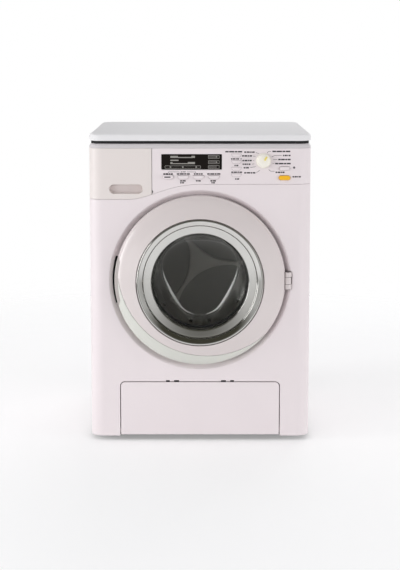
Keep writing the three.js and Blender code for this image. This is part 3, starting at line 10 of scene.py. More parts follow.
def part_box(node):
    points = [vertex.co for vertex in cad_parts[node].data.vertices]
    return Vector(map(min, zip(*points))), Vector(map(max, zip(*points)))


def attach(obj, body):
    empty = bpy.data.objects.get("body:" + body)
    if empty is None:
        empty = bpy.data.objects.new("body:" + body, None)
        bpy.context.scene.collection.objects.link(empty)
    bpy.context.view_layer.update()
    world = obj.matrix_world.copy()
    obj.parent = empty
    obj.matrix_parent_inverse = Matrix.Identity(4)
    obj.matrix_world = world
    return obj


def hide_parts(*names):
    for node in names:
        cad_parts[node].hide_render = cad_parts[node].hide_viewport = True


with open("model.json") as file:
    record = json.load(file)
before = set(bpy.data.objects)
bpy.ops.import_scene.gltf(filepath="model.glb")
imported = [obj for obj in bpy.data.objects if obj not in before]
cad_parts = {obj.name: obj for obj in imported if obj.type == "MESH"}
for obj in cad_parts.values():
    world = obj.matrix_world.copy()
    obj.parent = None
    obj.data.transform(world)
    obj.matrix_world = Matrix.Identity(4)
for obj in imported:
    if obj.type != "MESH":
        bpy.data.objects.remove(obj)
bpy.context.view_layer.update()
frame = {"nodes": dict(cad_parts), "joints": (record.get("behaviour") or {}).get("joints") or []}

bl_info = {
    "name": "Toy Washing Machine",
    "version": (1, 0, 0),
    "blender": (4, 5, 0),
    "location": "View3D > Sidebar > Washer",
    "description": "Dresses a toy washing machine's frame with fine meshes and procedural finishes",
    "category": "Object",
}

MM = 0.001


def box_low(node):
    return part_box(node)[0]


def box_high(node):
    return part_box(node)[1]


def joint_place(name):
    return next(Vector(j["pos_m"]) for j in frame["joints"] if j["name"] == name)


# Places taken from the frame
FRONT_Y = box_low("drawer_front").y
REAR_Y = box_high("rear_shell").y
SEAM_Y = box_high("control_fascia").y
MIDDLE_Y = (FRONT_Y + REAR_Y) / 2
HALF_WIDTH = box_high("rear_shell").x
CASING_LOW = box_low("rear_shell").z
CASING_TOP = box_high("rear_shell").z
CASING_DEPTH = REAR_Y - FRONT_Y
DOOR_Z = joint_place("drum_spin").z
KNOB_X = joint_place("knob_turn").x
KNOB_Z = joint_place("knob_turn").z
HINGE = joint_place("door_hinge")
HEADER_LOW = box_low("drawer_front").z
CHROME_OUTER = box_high("door_chrome_ring").x
BOWL_FLANGE = box_high("door_bowl").x
BOWL_END_Y = box_high("door_bowl").y
DOOR_PROUD = FRONT_Y - box_low("door_chrome_ring").y
RING_CREST = FRONT_Y - box_low("door_ring").y
RING_RIM_Y = box_high("door_ring").y
DRUM_FRONT = box_low("drum_shell").y
FLAP_HALF = (box_high("plinth_flap").x - box_low("plinth_flap").x) / 2
LID_LOW = box_low("worktop").z
LID_TOP = box_high("worktop").z

# Casing sizes
WALL = 2.5 * MM
FIT_GAP = 0.3 * MM
BEYOND_X = HALF_WIDTH + WALL
CORNER_RADIUS = 11 * MM
TOP_EDGE = 4 * MM
RAIL_LOW = CASING_TOP - 4.4 * MM
RAIL_GAP = 0.12 * MM
RAIL_EDGE = 0.12 * MM
SEAL_INSET = 1.6 * MM
SEAL_PLAY = 0.1 * MM
DECK_RIM = 12 * MM
LID_EDGE = 2.2 * MM
LID_UNDER_EDGE = 0.4 * MM
LID_SKIN = 2 * MM
HEADER_HIGH = HEADER_LOW + 12.7 * MM
HEADER_SEAM = 0.15 * MM
CURVE_START_X = -60 * MM
CURVE_END_X = 2 * MM
CURVE_LEAD = 18 * MM
CURVE_TRAIL = 30 * MM
DRAWER_EDGE_X = -39.9 * MM
DRAWER_SEAM = 0.4 * MM
DRAWER_WRAP = 12 * MM
NOTCH_RADIUS = 1 * MM
GRIP_X = -61.5 * MM
GRIP_Z = 214.2 * MM
GRIP_WIDTH = 28.1 * MM
GRIP_HEIGHT = 7.7 * MM
GRIP_DEPTH = 6 * MM
GRIP_EDGE = 1 * MM
GRIP_EDGE_START = 0.3 * MM
GRIP_FLOOR_INSET = 0.8 * MM
GRIP_FLOOR_PROUD = 0.4 * MM
GRIP_FLOOR_SUNK = 0.2 * MM
GRIP_FLOOR_EDGE = 0.2 * MM
RIB = 1.2 * MM

# Porthole sizes
MOAT_RADIUS = 75.6 * MM
MOAT_DEPTH = 9 * MM
# How far in from the dish's edge its wall has come at each depth, in millimetres
MOAT_SLOPE = (
    (0, 0.6), (0.4, 1.05), (0.95, 1.9), (1.65, 3.1), (2.5, 4.4), (3.4, 5.4), (4.4, 6.2), (5.4, 7), (6.5, 8),
    (7.6, 9),
)
DISH_LIP = 0.7 * MM
DISH_LIP_SHARE = 0.3
COLLAR_RADIUS = 57 * MM
COLLAR_DEPTH = 16 * MM
FINGER_SLOT = 2 * MM
FINGER_START = 3 * MM
FINGER_DEPTH = 6 * MM
FINGER_TURN = math.radians(16)
# The growth that would double the finger slot's turn
FINGER_SPREAD = 20 * MM
FINGER_STEPS = 12
# Play and start of the black fill painted as shade in the finger slot
FINGER_SHADE_PLAY = 0.1 * MM
FINGER_SHADE_START = 1.2 * MM
PEG = 2.5 * MM
PEG_X = -64.5 * MM
PEG_PLAY = 1.6 * MM
KNUCKLE_RADIUS = 2.8 * MM
KNUCKLE_HEIGHT = 5.6 * MM
KNUCKLE_LUG = 4 * MM
BRACKET_BACK = 8 * MM
BRACKET_THICKNESS = 4 * MM

# Door sizes
RING_RADIUS = 71.5 * MM
RING_INNER = 53.3 * MM
RING_RIM = 2.5 * MM
RING_EDGE = 0.5 * MM
RING_SKIN = 2.4 * MM
CRESCENT_RADIUS = 76 * MM
CRESCENT_SHIFT = (6.8 * MM, 13.5 * MM)
CHROME_INNER = 40.2 * MM
CHROME_SKIN = 1.8 * MM
CHROME_INNER_PROUD = 1 * MM
BOWL_FLANGE_THICKNESS = 2 * MM
BOWL_WALL = 2 * MM
BOWL_MOUTH = 40.4 * MM
BOWL_NECK = 38 * MM
BOWL_NECK_DEPTH = 12 * MM
BOWL_CROWN = 1.5 * MM

# Plinth sizes
FLAP_PLATE_HALF = 66.8 * MM
FLAP_TOP = 50.3 * MM
FLAP_REVEAL = 0.7 * MM
FLAP_CORNER = 3.5 * MM
FLAP_THICKNESS = 2.4 * MM
FLAP_LIFT = 1 * MM
FLAP_AXIS_DEPTH = 3.6 * MM
FLAP_AXIS_HEIGHT = 5.2 * MM
FLAP_STUB = 1.5 * MM
RECESS_DEPTH = 14 * MM
RECESS_WALL = 2 * MM
FLOOR_TOP = 6.5 * MM
SLOT_HEIGHT = 1 * MM
SLOT_DEPTH = 8 * MM
SLOTS = ((27.1 * MM, 3.2 * MM), (19.8 * MM, 4.2 * MM))
# Play and reach of the black fills painted as shade in the slots above the flap
SLOT_SHADE_PLAY = 0.02 * MM
SLOT_SHADE_FRONT = 0.6 * MM
SLOT_SHADE_BACK = 0.2 * MM
SLOT_SHADE_FOOT = 0.1 * MM
FLAP_HOLE_HALF = FLAP_PLATE_HALF + FLAP_REVEAL
FLAP_HOLE_TOP = FLAP_TOP + FLAP_REVEAL
FLAP_EDGE = 0.3 * MM
FLAP_RIB_END = 8 * MM
FLAP_RIB_DEPTH = 1.2 * MM
FLAP_RIB_LOW = 12 * MM
FLAP_RIB_HIGH = 10.6 * MM

# How finely round things are cut
RING_SIDES = 192
CORNER_STEPS = 12
EDGE_STEPS = 6
CURVE_STEPS = 28
BLEND_STEPS = 3
WELL_SIDES = 64
BORE_SIDES = 32
STUB_SIDES = 24
# The least radius of a corner, and how near corners merge in a CAD node and in the drum's wall
LEAST_RADIUS = 0.02 * MM
WELD_DISTANCE = 0.001 * MM
CELL_WELD = 0.01 * MM


# Outlines


def arc(centre, radius, start, end, steps):
    """Points along a circular arc, from one angle to another."""
    angles = [start + (end - start) * k / steps for k in range(steps + 1)]
    return [(centre[0] + radius * math.cos(a), centre[1] + radius * math.sin(a)) for a in angles]


def rounded_rect(width, height, radius, centre=(0, 0), steps=CORNER_STEPS):
    """A rectangle with round corners, counter-clockwise."""
    points = []
    quarter = math.pi / 2
    for k, (sx, sy) in enumerate(((1, 1), (-1, 1), (-1, -1), (1, -1))):
        corner = (centre[0] + sx * (width / 2 - radius), centre[1] + sy * (height / 2 - radius))
        points += arc(corner, radius, k * quarter, (k + 1) * quarter, steps)
    return points


def inset_rect(width, height, radius, centre=(0, 0), steps=CORNER_STEPS):
    """A rectangle with round corners, as a function of how far it is drawn in."""
    return lambda inset: rounded_rect(
        width - 2 * inset, height - 2 * inset, max(radius - inset, LEAST_RADIUS), centre, steps)


def pill(width, height, centre=(0, 0), steps=CORNER_STEPS):
    """A bar with round ends, as a function of how far it is drawn in."""
    return inset_rect(width, height, min(width, height) / 2 - LEAST_RADIUS, centre, steps)


def fixed(points):
    """An outline that is never drawn in."""
    return lambda inset: points


def blended(points, steps):
    """A smooth run through points, by Catmull and Rom's rule."""
    padded = [points[0], *points, points[-1]]
    found = []
    for k in range(1, len(padded) - 2):
        p, q, r, s = padded[k - 1:k + 3]
        for i in range(steps):
            t = i / steps
            found.append(tuple(
                0.5 * (2 * b + t * (c - a + t * (2 * a - 5 * b + 4 * c - d + t * (3 * (b - c) + d - a))))
                for a, b, c, d in zip(p, q, r, s)))
    found.append(points[-1])
    return found


# Where a boat's side runs from its deck to its keel, as shares of half its width and half its height
BILGE_SHARES = ((1, 1), (0.96, 0.35), (0.708, -0.8), (0.6, -1))


def boat(width, height, centre=(0, 0), steps=8):
    """A flat-topped bar whose two ends slope in to a narrower keel, as a function of its inset."""
    def outline(inset):
        half, tall = width / 2 - inset, height / 2 - inset
        x, z = centre
        bilge = blended([(half * u, tall * v) for u, v in BILGE_SHARES], steps)
        right = [(x + u, z + v) for u, v in bilge]
        left = [(x - u, z + v) for u, v in bilge[::-1]]
        return right + left
    return outline


def polar(radius, turn):
    """A point at a clock angle from straight up, turning to the right."""
    return radius * math.sin(turn), radius * math.cos(turn)


# Meshes


def mesh_object(name, bm):
    """An object in the scene from a mesh under work, which is used up."""
    bmesh.ops.recalc_face_normals(bm, faces=bm.faces)
    mesh = bpy.data.meshes.new(name)
    bm.to_mesh(mesh)
    bm.free()
    piece = bpy.data.objects.new(name, mesh)
    bpy.context.scene.collection.objects.link(piece)
    return piece


def bridge(bm, rows, wrap=False):
    """Joins rows of vertices with faces; a row of one vertex is a pole."""
    pairs = list(zip(rows, rows[1:]))
    if wrap:
        pairs.append((rows[-1], rows[0]))
    for a, b in pairs:
        count = max(len(a), len(b))
        for i in range(count):
            j = (i + 1) % count
            corners = []
            for row, k in ((a, i), (a, j), (b, j), (b, i)):
                vertex = row[k % len(row)]
                if vertex not in corners:
                    corners.append(vertex)
            if len(corners) > 2:
                bm.faces.new(corners)


def loft(name, rings):
    """A closed solid through loops of equally many points, capped at both ends."""
    bm = bmesh.new()
    rows = [[bm.verts.new(p) for p in ring] for ring in rings]
    bridge(bm, rows)
    bm.faces.new(rows[0])
    bm.faces.new(rows[-1][::-1])
    return mesh_object(name, bm)


def along(axis, u, v, place):
    return (u, v, place) if axis == "Z" else (u, place, v)


def prism(name, outline, levels, axis="Y"):
    """A solid whose outline is swept along an axis through levels of (place, inset)."""
    return loft(name, [[along(axis, u, v, place) for u, v in outline(inset)] for place, inset in levels])


def straight(start, end):
    """Levels of a plain sweep."""
    return [(start, 0), (end, 0)]


def rounded_levels(start, end, start_edge=0.0, end_edge=0.0, steps=EDGE_STEPS):
    """Levels from start to end, with a quarter round of the given radius at each end."""
    way = 1 if end > start else -1
    levels = []
    for edge, place, turn in ((start_edge, start, 1), (end_edge, end, -1)):
        rounds = []
        count = steps if edge else 0
        for k in range(count + 1):
            angle = math.pi / 2 * (k / count if count else 1)
            rise = edge * (1 - math.cos(angle))
            rounds.append((place + way * turn * rise, edge * (1 - math.sin(angle))))
        levels += rounds if turn == 1 else rounds[::-1]
    return levels


def revolve(name, profile, sides=RING_SIDES, centre=(0, DOOR_Z), wrap=True, axis="Y"):
    """A solid turned about an axis from a profile of (radius, place) points.

    A profile that starts and ends on the axis isn't wrapped."""
    bm = bmesh.new()
    rows = []
    for radius, place in profile:
        count = sides if radius > 1e-7 else 1
        row = []
        for i in range(count):
            u, v = polar(radius, 2 * math.pi * i / sides)
            row.append(bm.verts.new(along(axis, centre[0] + u, centre[1] + v, place)))
        rows.append(row)
    bridge(bm, rows, wrap)
    return mesh_object(name, bm)


def rod(name, radius, start, end, centre=(0, DOOR_Z), sides=RING_SIDES, axis="Y"):
    """A round bar along an axis."""
    return revolve(name, [(0, start), (radius, start), (radius, end), (0, end)], sides, centre, False, axis)


def block(name, x0, x1, y0, y1, z0, z1):
    """A box between two places along each axis."""
    corners = [(x0, y0), (x1, y0), (x1, y1), (x0, y1)]
    return loft(name, [[(x, y, z) for x, y in corners] for z in (z0, z1)])


def bake(piece):
    """Turns a piece's modifiers into its mesh."""
    graph = bpy.context.evaluated_depsgraph_get()
    mesh = bpy.data.meshes.new_from_object(piece.evaluated_get(graph))
    piece.modifiers.clear()
    piece.data = mesh


def combine(piece, operation, *tools):
    """Cuts, joins or intersects a piece with each tool in turn; the tools are used up."""
    for tool in tools:
        step = piece.modifiers.new("step", "BOOLEAN")
        step.solver = "EXACT"
        step.operation = operation
        step.object = tool
        bake(piece)
        if not piece.data.polygons:
            raise RuntimeError(f"{operation.lower()} left nothing of {piece.name}")
        discard(tool)
    return piece


def cut(piece, *tools):
    return combine(piece, "DIFFERENCE", *tools)


def join(piece, *tools):
    return combine(piece, "UNION", *tools)


def keep(piece, *tools):
    return combine(piece, "INTERSECT", *tools)


def discard(piece):
    mesh = piece.data
    bpy.data.objects.remove(piece)
    bpy.data.meshes.remove(mesh)


def gathered(name, pieces):
    """One object from several separate meshes."""
    bm = bmesh.new()
    for piece in pieces:
        bm.from_mesh(piece.data)
        discard(piece)
    return mesh_object(name, bm)


# Angles in degrees above which an edge stays sharp: as a rule, and on pieces of three rounder kinds
SHARP_ANGLE = 38
TURNED_ANGLE = 40
ROUNDED_ANGLE = 50
STRIP_ANGLE = 60


def dressed(piece, body, material, nodes=(), soften=0.3 * MM, angle=SHARP_ANGLE):
    """Softens a piece's edges, gives it its finish and hangs it on its body."""
    sharp = math.radians(angle)
    piece.data.materials.clear()
    piece.data.materials.append(material)
    piece.data.shade_smooth()
    piece.data.set_sharp_from_angle(angle=sharp)
    if soften:
        edge = piece.modifiers.new("soft edges", "BEVEL")
        edge.width = soften
        edge.segments = 2
        edge.limit_method = "ANGLE"
        edge.angle_limit = sharp
        edge.use_clamp_overlap = False
        edge.harden_normals = True
        edge.miter_outer = "MITER_ARC"
    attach(piece, body)
    if nodes:
        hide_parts(*nodes)
    return piece


def added(tree, kind, inputs=None, **settings):
    """A new node with its settings, and its inputs set from values or from other nodes' sockets."""
    node = tree.nodes.new(kind)
    for name, value in settings.items():
        setattr(node, name, value)
    for name, value in (inputs or {}).items():
        if isinstance(value, bpy.types.NodeSocket):
            tree.links.new(value, node.inputs[name])
        else:
            node.inputs[name].default_value = value
    return node


def maths(tree, operation, *values, clamp=False):
    """The result of a maths node on values or sockets."""
    node = added(tree, "ShaderNodeMath", dict(enumerate(values)), operation=operation, use_clamp=clamp)
    return node.outputs[0]


def new_group(name, kind, inputs, outputs):
    """A node group with its sockets, with what comes in and what goes out."""
    group = bpy.data.node_groups.new(name, kind)
    for label, socket, value in inputs:
        made = group.interface.new_socket(label, in_out="INPUT", socket_type=socket)
        if value is not None:
            made.default_value = value
    for label, socket in outputs:
        group.interface.new_socket(label, in_out="OUTPUT", socket_type=socket)
    return group, group.nodes.new("NodeGroupInput").outputs, group.nodes.new("NodeGroupOutput").inputs


# Shading and edges of the nodes that keep their CAD shape
SMOOTH_BELOW = math.radians(32)
KEPT_EDGE = 0.15 * MM
KEPT_EDGE_ABOVE = math.radians(40)


def smooth_group():
    """A geometry node group that shades smooth where neighbouring faces nearly line up."""
    name = "Smooth Where Shallow"
    if name in bpy.data.node_groups:
        return bpy.data.node_groups[name]
    group, source, result = new_group(
        name, "GeometryNodeTree",
        (("Geometry", "NodeSocketGeometry", None), ("Angle", "NodeSocketFloat", SMOOTH_BELOW)),
        (("Geometry", "NodeSocketGeometry"),))
    angle = added(group, "GeometryNodeInputMeshEdgeAngle").outputs["Unsigned Angle"]
    shallow = added(group, "FunctionNodeCompare", {"A": angle, "B": source["Angle"]}, operation="LESS_EQUAL")
    faces = added(group, "GeometryNodeSetShadeSmooth", {"Geometry": source["Geometry"]})
    edges = added(group, "GeometryNodeSetShadeSmooth", {
        "Geometry": faces.outputs["Geometry"], "Shade Smooth": shallow.outputs["Result"]}, domain="EDGE")
    group.links.new(edges.outputs["Geometry"], result["Geometry"])
    return group


def finish_node(name, material, soften):
    """Gives a CAD node that stays its finish, with merged corners, soft edges and smooth rounds."""
    node = frame["nodes"][name]
    node.data.materials.clear()
    node.data.materials.append(material)
    weld = node.modifiers.new("merge corners", "WELD")
    weld.merge_threshold = WELD_DISTANCE
    if soften:
        edge = node.modifiers.new("soft edges", "BEVEL")
        edge.width = soften
        edge.segments = 1
        edge.limit_method = "ANGLE"
        edge.angle_limit = KEPT_EDGE_ABOVE
    shade = node.modifiers.new("shading", "NODES")
    shade.node_group = smooth_group()


# Finishes


def linear(red, green, blue):
    """A colour given in 0 to 255 display values, as linear light."""
    def channel(value):
        value /= 255
        return value / 12.92 if value <= 0.04045 else ((value + 0.055) / 1.055) ** 2.4
    return channel(red), channel(green), channel(blue), 1


SURFACE_OUTPUTS = (
    ("Colour", "NodeSocketColor"), ("Roughness", "NodeSocketFloat"), ("Normal", "NodeSocketVector"),
)
CLOUD_SCALE = 34
GRAIN_HEIGHT = 0.02 * MM
LINES_RELIEF = 0.06


def uneven(group, source, result, noise, tint_spread, gloss_spread):
    """Lets a noise move a group's colour and gloss a little to both sides."""
    centred = maths(group, "SUBTRACT", noise, 0.5)
    lift = maths(group, "MULTIPLY_ADD", centred, source[tint_spread], 1)
    tint = added(group, "ShaderNodeVectorMath", operation="SCALE")
    group.links.new(source["Colour"], tint.inputs[0])
    group.links.new(lift, tint.inputs["Scale"])
    gloss = maths(group, "MULTIPLY_ADD", centred, source[gloss_spread], source["Roughness"])
    group.links.new(tint.outputs["Vector"], result["Colour"])
    group.links.new(gloss, result["Roughness"])


def grain_group():
    """Moulded plastic: slight colour clouds, uneven gloss and a fine grain in the normal."""
    name = "Moulded Grain"
    if name in bpy.data.node_groups:
        return bpy.data.node_groups[name]
    group, source, result = new_group(name, "ShaderNodeTree", (
        ("Colour", "NodeSocketColor", (0.8, 0.8, 0.8, 1)),
        ("Cloud", "NodeSocketFloat", 0.03),
        ("Roughness", "NodeSocketFloat", 0.4),
        ("Gloss Spread", "NodeSocketFloat", 0.06),
        ("Grain Scale", "NodeSocketFloat", 2600),
        ("Grain Depth", "NodeSocketFloat", 0.05),
    ), SURFACE_OUTPUTS)
    place = added(group, "ShaderNodeTexCoord").outputs["Object"]
    clouds = added(group, "ShaderNodeTexNoise", {"Vector": place, "Scale": CLOUD_SCALE, "Detail": 4})
    fine = added(group, "ShaderNodeTexNoise", {"Vector": place, "Scale": source["Grain Scale"], "Detail": 2})
    uneven(group, source, result, clouds.outputs["Fac"], "Cloud", "Gloss Spread")
    bump = added(group, "ShaderNodeBump", {
        "Distance": GRAIN_HEIGHT, "Strength": source["Grain Depth"], "Height": fine.outputs["Fac"]})
    group.links.new(bump.outputs["Normal"], result["Normal"])
    return group


def lines_group():
    """Fine turned or brushed lines: bands across one axis of the object."""
    name = "Drawn Lines"
    if name in bpy.data.node_groups:
        return bpy.data.node_groups[name]
    group, source, result = new_group(name, "ShaderNodeTree", (
        ("Colour", "NodeSocketColor", (0.6, 0.6, 0.6, 1)),
        ("Roughness", "NodeSocketFloat", 0.3),
        ("Stretch", "NodeSocketVector", (1, 1, 40)),
        ("Scale", "NodeSocketFloat", 60),
        ("Spread", "NodeSocketFloat", 0.2),
    ), SURFACE_OUTPUTS)
    place = added(group, "ShaderNodeTexCoord").outputs["Object"]
    stretched = added(group, "ShaderNodeVectorMath", {0: place, 1: source["Stretch"]}, operation="MULTIPLY")
    noise = added(group, "ShaderNodeTexNoise", {
        "Vector": stretched.outputs["Vector"], "Scale": source["Scale"], "Detail": 3}).outputs["Fac"]
    uneven(group, source, result, noise, "Spread", "Spread")
    bump = added(group, "ShaderNodeBump", {
        "Strength": LINES_RELIEF, "Distance": GRAIN_HEIGHT, "Height": noise})
    group.links.new(bump.outputs["Normal"], result["Normal"])
    return group


def material_with(name, group, values, metallic=0.0, settings=None):
    """A material whose colour, gloss and normal come from a group, made once."""
    title = f"{name}_finish"
    if title in bpy.data.materials:
        return bpy.data.materials[title]
    material = bpy.data.materials.new(title)
    material.use_nodes = True
    nodes, links = material.node_tree.nodes, material.node_tree.links
    shader = nodes["Principled BSDF"]
    surface = nodes.new("ShaderNodeGroup")
    surface.node_tree = group
    for label, value in values.items():
        surface.inputs[label].default_value = value
    links.new(surface.outputs["Colour"], shader.inputs["Base Color"])
    links.new(surface.outputs["Roughness"], shader.inputs["Roughness"])
    links.new(surface.outputs["Normal"], shader.inputs["Normal"])
    shader.inputs["Metallic"].default_value = metallic
    for label, value in (settings or {}).items():
        shader.inputs[label].default_value = value
    return material


def moulded(name, colour, roughness=0.38, cloud=0.03, grain=0.05, scale=2600, settings=None):
    """A moulded plastic or rubber."""
    values = {
        "Colour": colour, "Roughness": roughness, "Cloud": cloud, "Grain Depth": grain, "Grain Scale": scale,
    }
    return material_with(name, grain_group(), values, settings=settings)


def drawn_metal(name, colour, roughness=0.3, stretch=(1, 1, 40), scale=60, spread=0.2):
    """A metal with fine lines in it."""
    values = {"Colour": colour, "Roughness": roughness, "Stretch": stretch, "Scale": scale, "Spread": spread}
    return material_with(name, lines_group(), values, metallic=1.0)


class WasherColours(bpy.types.PropertyGroup):
    """Finish colours that a user may change."""
    casing: bpy.props.FloatVectorProperty(
        name="Casing", description="White of the casing and panel", subtype="COLOR", size=4,
        min=0, max=1, default=linear(232, 223, 225))
    lid: bpy.props.FloatVectorProperty(
        name="Lid", description="White of the worktop", subtype="COLOR", size=4,
        min=0, max=1, default=linear(229, 228, 229))
    drawer: bpy.props.FloatVectorProperty(
        name="Drawer", description="White of the soap drawer's front", subtype="COLOR", size=4,
        min=0, max=1, default=linear(227, 219, 216))
    ring: bpy.props.FloatVectorProperty(
        name="Door Ring", description="White of the door's ring", subtype="COLOR", size=4,
        min=0, max=1, default=linear(215, 206, 205))
    crescent: bpy.props.FloatVectorProperty(
        name="Crescent", description="Greener white of the ring's lower part", subtype="COLOR", size=4,
        min=0, max=1, default=linear(214, 215, 208))
    dial: bpy.props.FloatVectorProperty(
        name="Dial", description="Cream of the dial and the quick button", subtype="COLOR", size=4,
        min=0, max=1, default=linear(243, 239, 228))
    amber: bpy.props.FloatVectorProperty(
        name="Start Button", description="Amber of the start button", subtype="COLOR", size=4,
        min=0, max=1, default=linear(248, 188, 36))


class WasherSizes(bpy.types.PropertyGroup):
    """Small sizes that a user may change."""
    soft_edge: bpy.props.FloatProperty(
        name="Soft Edge", description="Radius on the moulded pieces' edges", unit="LENGTH",
        min=0.05 * MM, max=1 * MM, default=0.25 * MM)
    print_rise: bpy.props.FloatProperty(
        name="Print Rise", description="How far the printed marks stand off the panel", unit="LENGTH",
        min=0.01 * MM, max=0.2 * MM, default=0.05 * MM)
    smoke: bpy.props.FloatProperty(
        name="Smoke", description="How much light each skin of the door's bowl lets through",
        subtype="FACTOR", min=0.1, max=1, default=0.87)


def colours():
    return bpy.context.scene.washer_colours


def sizes():
    return bpy.context.scene.washer_sizes


def body_white():
    return moulded("body_white", tuple(colours().casing))


def lid_white():
    return moulded("lid_white", tuple(colours().lid), roughness=0.55,
                   settings={"Specular IOR Level": 0.2})


def drawer_white():
    return moulded("drawer_white", tuple(colours().drawer))


def ring_white():
    return moulded("ring_white", tuple(colours().ring), roughness=0.26,
                   settings={"Coat Weight": 0.8, "Coat Roughness": 0.12})


def crescent_white():
    return moulded("crescent_white", tuple(colours().crescent), roughness=0.34)


def knob_cream():
    return moulded("knob_cream", tuple(colours().dial), roughness=0.32)


def start_amber():
    return moulded("start_amber", tuple(colours().amber), roughness=0.28, settings={"Coat Weight": 0.4})


def pointer_yellow():
    return moulded("pointer_yellow", linear(234, 216, 120), roughness=0.4)


def display_black():
    return moulded("display_black", linear(27, 23, 21), roughness=0.22, grain=0.0,
                   settings={"Specular IOR Level": 0.14})


def display_ink():
    return moulded("display_ink", linear(150, 147, 142), roughness=0.5)


def display_dim():
    return moulded("display_dim", linear(82, 79, 76), roughness=0.5)


def panel_ink():
    return moulded("panel_ink", linear(52, 48, 52), roughness=0.55)


# Black of the rubber parts, also used for the fills painted as shade in the finger slot and the plinth's
# slots
def black_rubber():
    return moulded("black_rubber", linear(28, 27, 28), roughness=0.72, grain=0.25, scale=1400)


def grey_rubber():
    return moulded("grey_rubber", linear(200, 200, 197), roughness=0.66, grain=0.25, scale=1400)


def grip_grey():
    return moulded("grip_grey", linear(172, 165, 162), roughness=0.5)


def lamp_grey():
    return moulded("lamp_grey", linear(96, 92, 96), roughness=0.4)


# Grey painted as the shade round the keels' edges
def relief_shade_grey():
    return moulded("relief_shade_grey", linear(170, 162, 166), roughness=0.5)


# The casing's white painted greyer, as the shade under the lid's overhang
def rail_painted_shade():
    return moulded("rail_painted_shade", linear(207, 202, 204))


# The drawer's white painted greyer, as the shade in the grip recess
def grip_floor_painted_shade():
    return moulded("grip_floor_painted_shade", linear(222, 212, 210), roughness=0.5)


def drum_grey():
    return moulded("drum_grey", linear(188, 189, 189), roughness=0.5, cloud=0.08)


def star_grey():
    return moulded("star_grey", linear(244, 244, 243), roughness=0.5, cloud=0.06)


# Near-white of the painted glint round the bowl's end
def painted_glint_white():
    return moulded("painted_glint_white", linear(240, 240, 236), roughness=0.3)


def inner_grey():
    return moulded("inner_grey", linear(172, 172, 172), roughness=0.5)


def ring_chrome():
    """Bright plating, without a direction."""
    return drawn_metal(
        "ring_chrome", linear(214, 213, 210), roughness=0.1, stretch=(1, 1, 1), scale=90, spread=0.06)


def plain_steel():
    return drawn_metal("plain_steel", linear(176, 178, 180), roughness=0.3, stretch=(1, 40, 1))


def contact_brass():
    return drawn_metal("contact_brass", linear(196, 160, 92), roughness=0.32)


def board_green():
    return moulded("board_green", linear(44, 104, 66), roughness=0.5, cloud=0.5, grain=0.2, scale=420)


def cell_grey():
    return moulded("cell_grey", linear(78, 82, 90), roughness=0.36, cloud=0.1)


def lead_red():
    return moulded("lead_red", linear(170, 44, 36), roughness=0.5)


def lead_black():
    return moulded("lead_black", linear(34, 34, 36), roughness=0.5)


def bowl_smoke():
    """Clear smoked plastic, its tint a little uneven."""
    share = sizes().smoke
    return moulded(
        "bowl_smoke", (share, share * 0.99, share * 0.96, 1), roughness=0.06, cloud=0.04, grain=0.0,
        settings={"Transmission Weight": 1.0, "IOR": 1.46})


# Casing


def casing_plan(inset):
    """The casing's outline from above, drawn in by an inset."""
    return inset_rect(
        2 * (HALF_WIDTH - inset), CASING_DEPTH - 2 * inset, CORNER_RADIUS - inset, (0, MIDDLE_Y))


def deck_hole():
    """The outline of the hole in the casing's top and of the pocket under the lid."""
    return inset_rect(2 * (HALF_WIDTH - DECK_RIM), CASING_DEPTH - 2 * DECK_RIM, WALL, (0, MIDDLE_Y))


def casing_shell():
    """The whole casing, before it is parted into front, back, panel, drawer and rail."""
    shell = prism("shell", casing_plan(0), rounded_levels(CASING_LOW, CASING_TOP, 0, TOP_EDGE), "Z")
    inner = rounded_levels(CASING_LOW - WALL, CASING_TOP - WALL, 0, TOP_EDGE - WALL)
    return cut(
        shell,
        prism("hollow", casing_plan(WALL), inner, "Z"),
        prism("deck", deck_hole(), straight(CASING_TOP - 2 * WALL, CASING_TOP + WALL), "Z"),
    )


def bezier(points, steps=CURVE_STEPS):
    """Points along a cubic curve."""
    found = []
    for k in range(1, steps):
        t = k / steps
        weights = ((1 - t) ** 3, 3 * t * (1 - t) ** 2, 3 * t * t * (1 - t), t ** 3)
        found.append(tuple(sum(w * p[i] for w, p in zip(weights, points)) for i in (0, 1)))
    return found


def header_tool(name, drop, y0, y1):
    """The zone of the drawer and the panel, above the header's curved lower edge."""
    low, high = HEADER_LOW - drop, HEADER_HIGH - drop
    curve = [
        (CURVE_START_X, low), (CURVE_START_X + CURVE_LEAD, low),
        (CURVE_END_X - CURVE_TRAIL, high), (CURVE_END_X, high),
    ]
    outline = [
        (-BEYOND_X, low), curve[0], *bezier(curve), curve[3],
        (BEYOND_X, high), (BEYOND_X, LID_TOP), (-BEYOND_X, LID_TOP),
    ]
    return prism(name, fixed(outline), straight(y0, y1))


def front_tool(name, y1, x1=BEYOND_X):
    """Everything in front of a plane and left of a place across."""
    return block(name, -BEYOND_X, x1, FRONT_Y - WALL, y1, CASING_LOW - WALL, LID_TOP)


def above_rail(name, drop=0.0):
    """Everything above the lower edge of the top rail."""
    return block(name, -BEYOND_X, BEYOND_X, FRONT_Y - WALL, REAR_Y + WALL, RAIL_LOW - drop, LID_TOP + WALL)


def flap_outline(half, top, radius, bottom):
    """An upright plate's outline with two round upper corners."""
    quarter = math.pi / 2
    right = arc((half - radius, top - radius), radius, 0, quarter, CORNER_STEPS)
    left = arc((-half + radius, top - radius), radius, quarter, 2 * quarter, CORNER_STEPS)
    return [(-half, bottom), (half, bottom), *right, *left]


